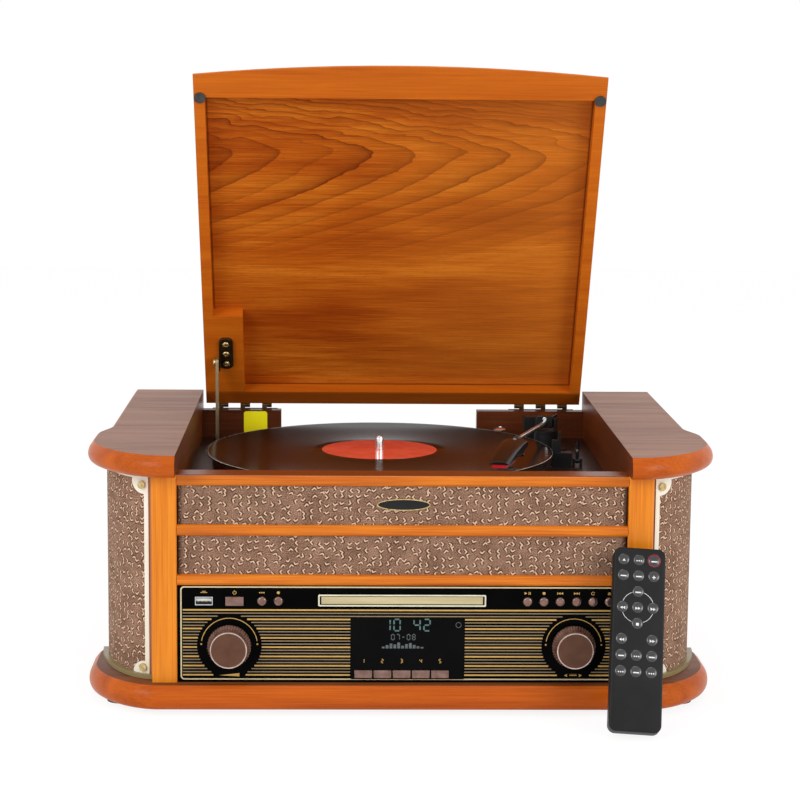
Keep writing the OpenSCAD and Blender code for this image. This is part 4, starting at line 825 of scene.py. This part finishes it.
def down_on_lid(x, y, z):
    """Puts a part whose own axis is upright so that it points out of the lid's underside."""
    return lambda p: on_lid((x + p[0], y - p[1], z - p[2]))


bracket_plate = soft_outline((plate_x - plate_half_width, plate_y - plate_half_length),
                             (plate_x + plate_half_width, plate_y + plate_half_length), 6.5, 10)
make("stay_plate", loft([[(x, y, bracket_z + z) for x, y in bracket_plate] for z in (-0.7, 0.4)]),
     "lid", bronze, on_lid, bevel=0.3)
stay_screw = [(3.0, 0), (3.0, 0.4), (2.4, 1.0), (1.2, 1.35), (1.1, 0.6), (0.05, 0.5)]
for name, from_rear_edge in (("low", 48.2), ("middle", 59.6), ("high", 70.6)):
    make("stay_screw_" + name, turned_part(stay_screw, 24), "lid", brass,
         down_on_lid(plate_x, lid_rear - from_rear_edge, bracket_z - 0.6))
pivot_y, pivot_z = lid_rear - 52.7, lid_under - 5.5
make("stay_rivet", rod((stay_x - 3.6, pivot_y, pivot_z), (stay_x - 1.5, pivot_y, pivot_z), 3.2,
                       end_radius=3.6),
     "lid", brass, on_lid, bevel=0.4)

# ---- Fascia
# A black gloss panel, printed with a cream border, gold and brown lines, and an arc round
# each knob. The printing stands a hair above the panel.
fascia_front = 1.5
dress("fascia", mottled("fascia_gloss", 0.25, (3, 3, 3), (6, 6, 6), 25, 4, 0.005, Specular_IOR_Level=0.02))


def ink(name, colour, gloss=0.45):
    """Printed colour with a faint unevenness."""
    finish = Finish(name, gloss)
    point = finish.place()
    finish.relief(finish.cloud(point, 0.8), 0.005)
    return finish.colour(finish.ramp(finish.cloud(point, (9, 2, 2)), (0.3, shaded(colour, 0.82)),
                                     (0.65, stain(*colour))))


cream_ink = ink("cream_ink", (212, 198, 160))
gold_ink = ink("gold_ink", (206, 164, 84))
brown_ink = ink("brown_ink", (142, 122, 92))
ink_low, ink_high = fascia_front - 0.08, fascia_front + 0.05


def ribbon(outer, inner, front=ink_low, back=ink_high):
    """A closed flat band between two outlines of equal point count."""
    count = len(outer)
    points = [(x, y, z) for y in (front, back) for line in (outer, inner) for x, z in line]
    faces = []
    for i in range(count):
        j = (i + 1) % count
        a, b, c, d = i, j, count + j, count + i
        e, f, g, h = (2 * count + k for k in (a, b, c, d))
        faces += [(a, b, c, d), (h, g, f, e), (a, e, f, b), (d, c, g, h)]
    return points, faces


def printed(low, high, front=ink_low, back=ink_high):
    """A printed rectangle between two corners."""
    return plate([(low[0], low[1]), (high[0], low[1]), (high[0], high[1]), (low[0], high[1])], front, back)


def dot(x, z, radius):
    return plate([(x + a, z + b) for a, b in around(16, radius)], ink_low, ink_high)


make("fascia_border", ribbon(soft_outline((-177, 26.4), (177, 102.9), 3),
                             soft_outline((-175.95, 27.45), (175.95, 101.85), 2.1)),
     "cabinet", cream_ink)
knob_x, knob_z, clear_circle = 138, 54.4, 25.9
wedge_z, wedge_half_height, wedge_half_width = 30, 3, 13
line_top, line_pitch, line_count, line_end, shortest_line = 83.65, 2.537, 22, 175.2, 0.6
display_left, display_low, display_right, display_high = -40.9, 26.9, 50.1, 77.6
thick_lines, thin_lines = [], []
for i in range(line_count):
    z = line_top - i * line_pitch
    half_height = 0.62 if i % 3 == 0 else 0.42
    spans = [(-line_end, line_end)]
    blocks = []
    if display_low < z < display_high + 0.8:
        blocks.append((display_left - 0.4, display_right + 0.4))
    for centre in (-knob_x, knob_x):
        if abs(z - knob_z) < clear_circle:
            reach = math.sqrt(clear_circle ** 2 - (z - knob_z) ** 2)
            blocks.append((centre - reach, centre + reach))
        if abs(z - wedge_z) < wedge_half_height:
            blocks.append((centre - wedge_half_width, centre + wedge_half_width))
    for start, end in sorted(blocks):
        last = spans.pop()
        spans += [(last[0], start), (max(end, last[0]), last[1])]
    for start, end in spans:
        if end - start > shortest_line:
            (thin_lines if i % 3 else thick_lines).append(
                printed((start, z - half_height), (end, z + half_height)))
make("fascia_gold_lines", joined(*thick_lines), "cabinet", gold_ink)
make("fascia_brown_lines", joined(*thin_lines), "cabinet", brown_ink)


def arc_part(x, z, radius, width, first, last, steps=48):
    """A printed arc between two angles, as short flat pieces."""
    angles = [math.radians(first + (last - first) * i / steps) for i in range(steps + 1)]
    outer, inner = ([(x + r * math.cos(a), z + r * math.sin(a)) for a in angles]
                    for r in (radius + width / 2, radius - width / 2))
    return joined(*(plate([inner[i], inner[i + 1], outer[i + 1], outer[i]], ink_low, ink_high)
                    for i in range(steps)))


arcs = [arc_part(centre, knob_z, 22.5, 0.6, 10, 170) for centre in (-knob_x, knob_x)]
make("fascia_arcs", joined(*arcs), "cabinet", gold_ink)
make("fascia_arc_dots", joined(*(dot(centre + side * 22.4, knob_z + 1.2, 0.7)
                                 for centre in (-knob_x, knob_x) for side in (-1, 1))),
     "cabinet", gold_ink)


def triangle(x, z, size, way=1):
    return plate([(x - way * size / 2, z - size / 2), (x + way * size / 2, z),
                  (x - way * size / 2, z + size / 2)][::way], ink_low, ink_high)


def bar(x, z, width, height, front=ink_low):
    return printed((x - width / 2, z - height / 2), (x + width / 2, z + height / 2), front)


# Plain marks over the controls: triangles, bars, squares and rings.
mark_z, mark_low, usb_x, power_x = 97.8, 30.3, -158.2, -133.8
round_keys = [-112, -98.9] + [100.4 + 13.1 * i for i in range(6)]
function_x, record_x, play_x, stop_x, back_x, forward_x, mode_x, eject_x = round_keys
marks = [
    bar(usb_x, mark_z, 5.4, 0.5), bar(usb_x, mark_z + 1.0, 3.0, 0.5),
    arc_part(power_x, mark_z, 1.3, 0.45, -240, 60, 20), bar(power_x, mark_z + 1.1, 0.45, 1.6),
    dot(function_x - 1.6, mark_z, 0.6), dot(function_x, mark_z, 0.6), dot(function_x + 1.6, mark_z, 0.6),
    dot(record_x, mark_z, 1.2),
    triangle(play_x - 1.4, mark_z, 2.2), bar(play_x + 1, mark_z, 0.6, 2.2),
    bar(play_x + 2.1, mark_z, 0.6, 2.2),
    bar(stop_x, mark_z, 2.1, 2.1),
    triangle(back_x + 1.2, mark_z, 2.0, -1), triangle(back_x - 0.9, mark_z, 2.0, -1),
    bar(back_x - 2.2, mark_z, 0.5, 2.0),
    triangle(forward_x - 1.2, mark_z, 2.0), triangle(forward_x + 0.9, mark_z, 2.0),
    bar(forward_x + 2.2, mark_z, 0.5, 2.0),
    arc_part(mode_x, mark_z, 1.2, 0.45, 30, 330, 20), triangle(mode_x + 1.2, mark_z + 0.7, 1.2),
    plate([(eject_x - 1.3, mark_z - 0.2), (eject_x + 1.3, mark_z - 0.2), (eject_x, mark_z + 1.3)],
          ink_low, ink_high),
    bar(eject_x, mark_z - 0.9, 2.6, 0.5),
    plate([(-knob_x - 8, mark_low - 0.3), (-knob_x + 8, mark_low - 1.2), (-knob_x + 8, mark_low + 1.5)],
          ink_low, ink_high),
    triangle(knob_x - 6, mark_low, 2.4, -1), triangle(knob_x + 6, mark_low, 2.4),
    bar(knob_x, mark_low, 6, 0.6)]
marks += [bar(knob_x - 2.4 + 1.6 * i, mark_low + 0.7, 0.4, 1.2) for i in range(4)]
make("fascia_marks", joined(*marks), "cabinet", gold_ink)

# ---- Display
# A smoked window with a dim clock of seven-bar figures, two rows of small figures and bars,
# and the numbers of the five keys below it.
window_front = 1.1
dress("display_window", mottled("window_glass", 0.12, (6, 6, 6), (10, 10, 11), 30, 30, 0.003,
                                Specular_IOR_Level=0.04))


def glow_ink(name, colour, strength):
    finish = Finish(name, 0.4, Emission_Color=stain(*colour), Emission_Strength=strength)
    point = finish.place()
    finish.relief(finish.cloud(point, 0.6), 0.003)
    return finish.colour(finish.ramp(finish.cloud(point, 2), (0.3, stain(*(c * 0.6 for c in colour))),
                                     (0.7, stain(*colour))))


teal_glow = glow_ink("teal_glow", (84, 118, 112), 0.14)
grey_glow = glow_ink("grey_glow", (92, 100, 100), 0.18)
bars_of = {"0": "abcdef", "1": "bc", "2": "abged", "3": "abgcd", "4": "fgbc", "5": "afgcd",
           "7": "abc", "8": "abcdefg", "-": "g"}


def figures(text, x, z, height, pitch, thick, front):
    """Seven-bar figures, from the left end and lower edge of the first."""
    width, gap, half = height * 0.52, thick * 0.55, thick / 2
    flat = {"a": height, "g": height / 2, "d": 0}
    shapes = []
    for place_in_row, figure_name in enumerate(text):
        left = x + place_in_row * pitch
        for name in bars_of.get(figure_name, ""):
            if name in flat:
                low = (left + gap, z + flat[name] - half)
                high = (left + width - gap, z + flat[name] + half)
            else:
                middle = left + (width if name in "bc" else 0)
                foot = z + (height / 2 if name in "bf" else 0)
                low = (middle - half, foot + gap)
                high = (middle + half, foot + height / 2 - gap)
            shapes.append(printed(low, high, front, front + 0.2))
    return joined(*shapes)


make("clock_figures", figures("10 42", -14.4, 67, 9.4, 8.0, 1.15, window_front - 0.12),
     "cabinet", teal_glow)
bar_heights = (1.4, 2.6, 3.9, 3.2, 4.8, 2.2, 3.5, 4.4, 2.8, 1.8, 1.2)
make("row_figures", joined(figures("07-08", -8.4, 59.6, 4.4, 4.2, 0.6, window_front - 0.1),
                           *(bar(-14.9 + 3.1 * i, 52.5 + h / 2, 2.2, h, window_front - 0.1)
                             for i, h in enumerate(bar_heights))),
     "cabinet", grey_glow)
flat_keys = [(i - 2) * 15.4 for i in range(5)]
make("key_numbers", joined(*(figures(str(i + 1), x - 0.9, 40.6, 3.0, 2, 0.55, window_front - 0.1)
                             for i, x in enumerate(flat_keys))),
     "cabinet", gold_ink)
make("sensor_window", arc_part(45.3, 71.8, 2.1, 0.4, 0, 359, 32), "cabinet",
     grey_glow, lambda p: in_cabinet((p[0], p[1] - 0.42, p[2])))

# ---- Disc tray and its slot
# A cream moulded bar closes the tray. It sits inside a pale moulded rim that lines the slot in
# the fascia.
dress("cd_tray", mottled("tray_cream", 0.35, (186, 170, 124), (206, 190, 148), (50, 3, 3), (20, 0.4, 0.4),
                         0.01, Coat_Weight=0.2))
slot_front = fascia_front - 1.0
make("slot_rim", ribbon(soft_outline((-67.1, 87.0), (67.1, 96.6), 1.1),
                        soft_outline((-65.9, 88.2), (65.9, 95.4), 0.4), slot_front - 0.12,
                        fascia_front + 0.1),
     "cabinet", ink("rim_cream", (226, 222, 196)))

# ---- USB port
# A bright folded shell with a white tongue that carries four contacts. The floor of the shell
# is a near-black plate, a painted shadow.
shell_metal = mottled("shell_metal", 0.2, (186, 187, 190), (222, 223, 226), 4, 1, 0.01, Metallic=1.0)
dress("usb_socket", shell_metal)
make("usb_tongue", box_part((-164.5, 1.9, 90.9), (-151.9, 12.6, 92.9)), "cabinet",
     ink("tongue_white", (214, 214, 212), 0.4), bevel=0.2)
make("usb_floor_painted_shadow", box_part((-164.4, 1.8, 88.2), (-152, 12.5, 88.7)), "cabinet",
     ink("usb_floor_painted_shadow", (18, 18, 22), 0.4))
make("usb_contacts", joined(*(box_part((-163.2 + 3.2 * i, 1.75, 90.3), (-161.8 + 3.2 * i, 9, 90.9))
                              for i in range(4))), "cabinet", brass)

# ---- Push buttons
# Brown metallic plastic: eight domed round buttons, the power key, and five flat keys. Each has
# a wider flange behind the fascia that keeps it in.
button_brown = mottled("button_brown", 0.17, (112, 84, 76), (146, 116, 106), 6, 1.2, 0.01, Metallic=0.75)
key_names = ["function", "record", "play", "stop", "skip_back", "skip_forward", "play_mode", "eject"]
key_row_z, key_front, flange_front, key_back = 91, fascia_front - 2.2, 5.8, 7.0
domed_key = [(4.7, 0), (4.7, 1.2), (3.8, 1.2), (3.8, 5.6), (3.72, 6.5), (3.4, 7.2), (2.7, 7.65),
             (1.4, 7.68), (0.05, 7.69)]
for name, x in zip(key_names, round_keys):
    cap = make(name + "_cap", turned_part(domed_key, 40), name + "_button", button_brown,
               facing(x, key_back, key_row_z))
    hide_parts(name + "_button")
flat_names = ["menu", "info", "scan", "preset", "eq"]
for name, x, z, width, height in ([("power", power_x, key_row_z, 14.6, 7.4)]
                                  + [(n, x, 31.4, 14.4, 6.6) for n, x in zip(flat_names, flat_keys)]):
    right, top = width / 2, height / 2
    cap = make(name + "_cap", joined(
        box_part((x - right, key_front, z - top), (x + right, flange_front, z + top)),
        box_part((x - right + 0.6, flange_front, z - top - 1), (x + right - 0.6, key_back, z + top + 1))),
        name + "_button", button_brown, bevel=0.5)
    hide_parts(name + "_button")

# ---- Knobs
# Turned brown knobs: a wide foot with fine flutes, a slimmer grip, and a flat matt face in a
# bright rim.
knob_brown = mottled("knob_brown", 0.26, (112, 78, 66), (156, 122, 108), 8, 1, 0.01, Metallic=0.35,
                     Coat_Weight=0.35)
knob_face = mottled("knob_face", 0.45, (84, 52, 36), (98, 64, 46), 12, 0.5, 0.01, Specular_IOR_Level=0.25)
rim_metal = mottled("rim_metal", 0.18, (176, 150, 140), (216, 194, 184), 4, 1, 0.01, Metallic=0.8)
flute_count, knob_steps = 46, 46 * 6
knob_foot_y = fascia_front - 2


def fluted(profile):
    """A turned body whose side is cut by flutes; each profile row adds the flute's depth."""
    rings = []
    for radius, height, depth in profile:
        ring = []
        for i in range(knob_steps):
            turn = 2 * math.pi * i / knob_steps
            r = radius - depth * (0.5 + 0.5 * math.cos(flute_count * turn)) ** 2
            ring.append((r * math.cos(turn), r * math.sin(turn), height))
        rings.append(ring)
    return loft(rings)


grip = [(3.5, 0, 0), (17.2, 0, 0), (17.6, 0.4, 0.3), (17.6, 2.2, 0.9), (17.1, 3.6, 1.0), (16.2, 4.8, 0.95),
        (15.6, 6.5, 0.8), (15.3, 10, 0.6), (15.1, 12.4, 0.35), (15.0, 13.0, 0), (14.7, 13.6, 0),
        (3.5, 13.6, 0)]
bright_rim = [(13.7, 13.5), (14.75, 13.5), (14.7, 13.85), (14.3, 14.0), (13.8, 13.9), (13.7, 13.5)]
matt_face = [(0.05, 13.5), (13.75, 13.5), (13.75, 13.8), (13.2, 13.72), (0.05, 13.66)]
for name, side, body in (("volume", -1, "volume"), ("tuner", 1, "tuner")):
    put = facing(side * knob_x, knob_foot_y, knob_z)
    knob = make(name + "_grip", fluted(grip), body, knob_brown, put, smooth=50)
    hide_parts(name + "_knob")
    make(name + "_rim", turned_part(bright_rim, 96), body, rim_metal, put)
    make(name + "_face", turned_part(matt_face, 96), body, knob_face, put)
dress("tuner_shaft", shell_metal)
make("volume_shaft", rod((-knob_x, knob_foot_y - 0.1, knob_z), (-knob_x, 11.9, knob_z), 3), "volume",
     shell_metal)

# ---- Badge
# A small bare oval plate on the upper cloth panel. Its black face is slightly domed, and the
# gold rim round it stands just above it.
badge_x, badge_z, badge_width, badge_height, rim_back = 0.6, 169.2, 21.5, 4.8, 4.05


def oval(inward_x, inward_z):
    return [(badge_x + (badge_width - inward_x) * c, badge_z + (badge_height - inward_z) * s)
            for c, s in around(64)]


make("badge_rim", ribbon(oval(0, 0), oval(1.1, 0.8), 2.9, rim_back), "cabinet", brass)
make("badge_face", loft([[(x, y, z) for x, z in oval(inward, inward * 0.8)]
                         for inward, y in ((1, rim_back), (1, 3.4), (2.6, 3.1), (4.4, 3.0))]),
     "cabinet", gloss_black)

# ---- Screws
# Brass screws hold the grille frames and the back; a bigger chromed one secures the deck
# while it travels.
dress("cabinet_screws", brass)
transit_screw = [(5.9, 10), (5.9, 11), (5.0, 12.1), (3.0, 12.9), (1.6, 13.1), (1.4, 12.4), (0.05, 12.3)]
make("transit_head", turned_part(transit_screw, 32), "cabinet", chrome,
     lambda p: in_cabinet((100 + p[0], 325 + p[1], 168 + p[2])))

# ---- Inside the cabinet
# Circuit board, transformer, disc drive and loudspeakers, in their usual finishes: green
# lacquer, copper, bright steel and dark paper.
for node, low, high, metallic in (("main_board", (18, 70, 34), (30, 96, 48), 0.0),
                                  ("power_transformer", (120, 62, 28), (160, 92, 50), 0.2),
                                  ("cd_mechanism", (150, 152, 156), (184, 186, 190), 0.8),
                                  ("speakers", (44, 44, 46), (66, 66, 68), 0.3)):
    dress(node, mottled(node + "_finish", 0.45, low, high, 14, 1.5, 0.03, Metallic=metallic))

# ---- Remote
# A slim charcoal handset that leans back in front of the cabinet. Nineteen glossy rubber
# keys stand in it, with plain white marks, and a thin ring joins the five in the middle.
lean, twist = math.radians(26.8), math.radians(3.8)
remote_x, remote_width, remote_length, remote_thickness = 178, 41, 146.5, 15
foot_height = (0.3 + remote_thickness * math.sin(lean)
               + (remote_width / 2 - 1.8) * math.sin(twist) * math.cos(lean))
foot_depth = -66.6 - remote_thickness * math.cos(lean)
remote_turn = Matrix.Rotation(-lean, 3, "X") @ Matrix.Rotation(twist, 3, "Y")


def on_remote(point):
    """Sideways, back from its face, and up from its foot."""
    turned = remote_turn @ Vector(point)
    return in_cabinet((remote_x + turned.x, foot_depth + turned.y, foot_height + turned.z))


def remote_outline(inward):
    return soft_outline((inward - remote_width / 2, inward),
                        (remote_width / 2 - inward, remote_length - inward), 6 - inward * 0.6, 10)


case_rings = [(2.6, 15), (1.2, 14.6), (0.4, 13.8), (0, 12.4), (0, 1.6), (0.25, 0.7), (0.8, 0.15), (1.6, 0)]
case = make("remote_shell", loft([[(x, y, z) for x, z in remote_outline(inward)]
                                  for inward, y in case_rings]),
            "remote",
            mottled("charcoal", 0.42, (29, 29, 30), (38, 38, 39), 30, 0.35, 0.02, Specular_IOR_Level=0.12),
            on_remote, smooth=40)
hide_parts("remote_case")
key_black = mottled("key_black", 0.26, (8, 8, 9), (20, 20, 22), 5, 3, 0.01, Specular_IOR_Level=0.95)
white_ink = ink("white_ink", (236, 236, 236))
red_ink = ink("red_ink", (206, 40, 62))
places = [(c, r) for r in (0, 1, 6, 7) for c in (-1, 0, 1)]
places += [(0, 2), (-1, 3), (0, 3), (1, 3), (0, 4), (-1, 5), (1, 5)]
key_column, key_row, first_key = 12, 12.8, remote_length - 9.9


def remote_key_place(column, row):
    return column * key_column - 0.7, first_key - row * key_row


key_profile = [(4.6, 0.3), (4.6, -0.1), (4.35, -0.45), (3.6, -0.78), (2.2, -0.94), (0.05, -1.0)]
key_shapes = []
for column, row in places:
    x, z = remote_key_place(column, row)
    key_shapes.append(loft([[(x + a, y, z + b) for a, b in around(32, r)] for r, y in key_profile]))
keypad = make("remote_keys", joined(*key_shapes), "remote", key_black, on_remote)
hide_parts("remote_keypad")
mark_front, mark_back = -1.06, -0.6


def key_mark(column, row, kind):
    """A plain white mark on the lower half of a key."""
    x, z = remote_key_place(column, row)
    z -= 1.0

    def block(left, low, right, high):
        return [(left, low), (right, low), (right, high), (left, high)]

    flat = {"bar": [block(-2.3, -0.5, 2.3, 0.5)],
            "up": [[(-1.3, -0.7), (1.3, -0.7), (0, 1.3)]],
            "plus": [block(-1.5, -0.35, 1.5, 0.35), block(-0.35, 0.35, 0.35, 1.4),
                     block(-0.35, -1.4, 0.35, -0.35)],
            "left": [[(-2, 0), (0, -1.2), (0, 1.2)], [(0, 0), (2, -1.2), (2, 1.2)]],
            "right": [[(0, -1.2), (2, 0), (0, 1.2)], [(-2, -1.2), (0, 0), (-2, 1.2)]],
            "square": [block(-1.1, -1.1, 1.1, 1.1)],
            "dots": [block(d - 0.5, -0.5, d + 0.5, 0.5) for d in (-1.7, 0, 1.7)]}[kind]
    return joined(*(plate([(x + a, z + b) for a, b in outline], mark_front, mark_back) for outline in flat))


kinds = {(-1, 0): "up", (-1, 1): "bar", (1, 1): "plus", (0, 2): "bar", (-1, 3): "left", (0, 3): "right",
         (1, 3): "right", (0, 4): "square", (-1, 5): "left", (1, 5): "right"}
make("remote_marks", joined(*(key_mark(c, r, kinds.get((c, r), "bar" if (c + r) % 2 else "dots"))
                              for c, r in places)),
     "remote", white_ink, on_remote)


def circle_line(column, row, radius, front, steps=72):
    """A thin printed ring about a key."""
    x, z = remote_key_place(column, row)
    outer, inner = ([(x + a, z + b) for a, b in around(steps, r)] for r in (radius, radius - 0.35))
    return ribbon(outer, inner, front, 0.1)


make("remote_ring", circle_line(0, 3, 12.8, -0.08), "remote", white_ink, on_remote)
make("remote_red_ring", circle_line(1, 0, 5.05, -0.12, 40), "remote", red_ink, on_remote)
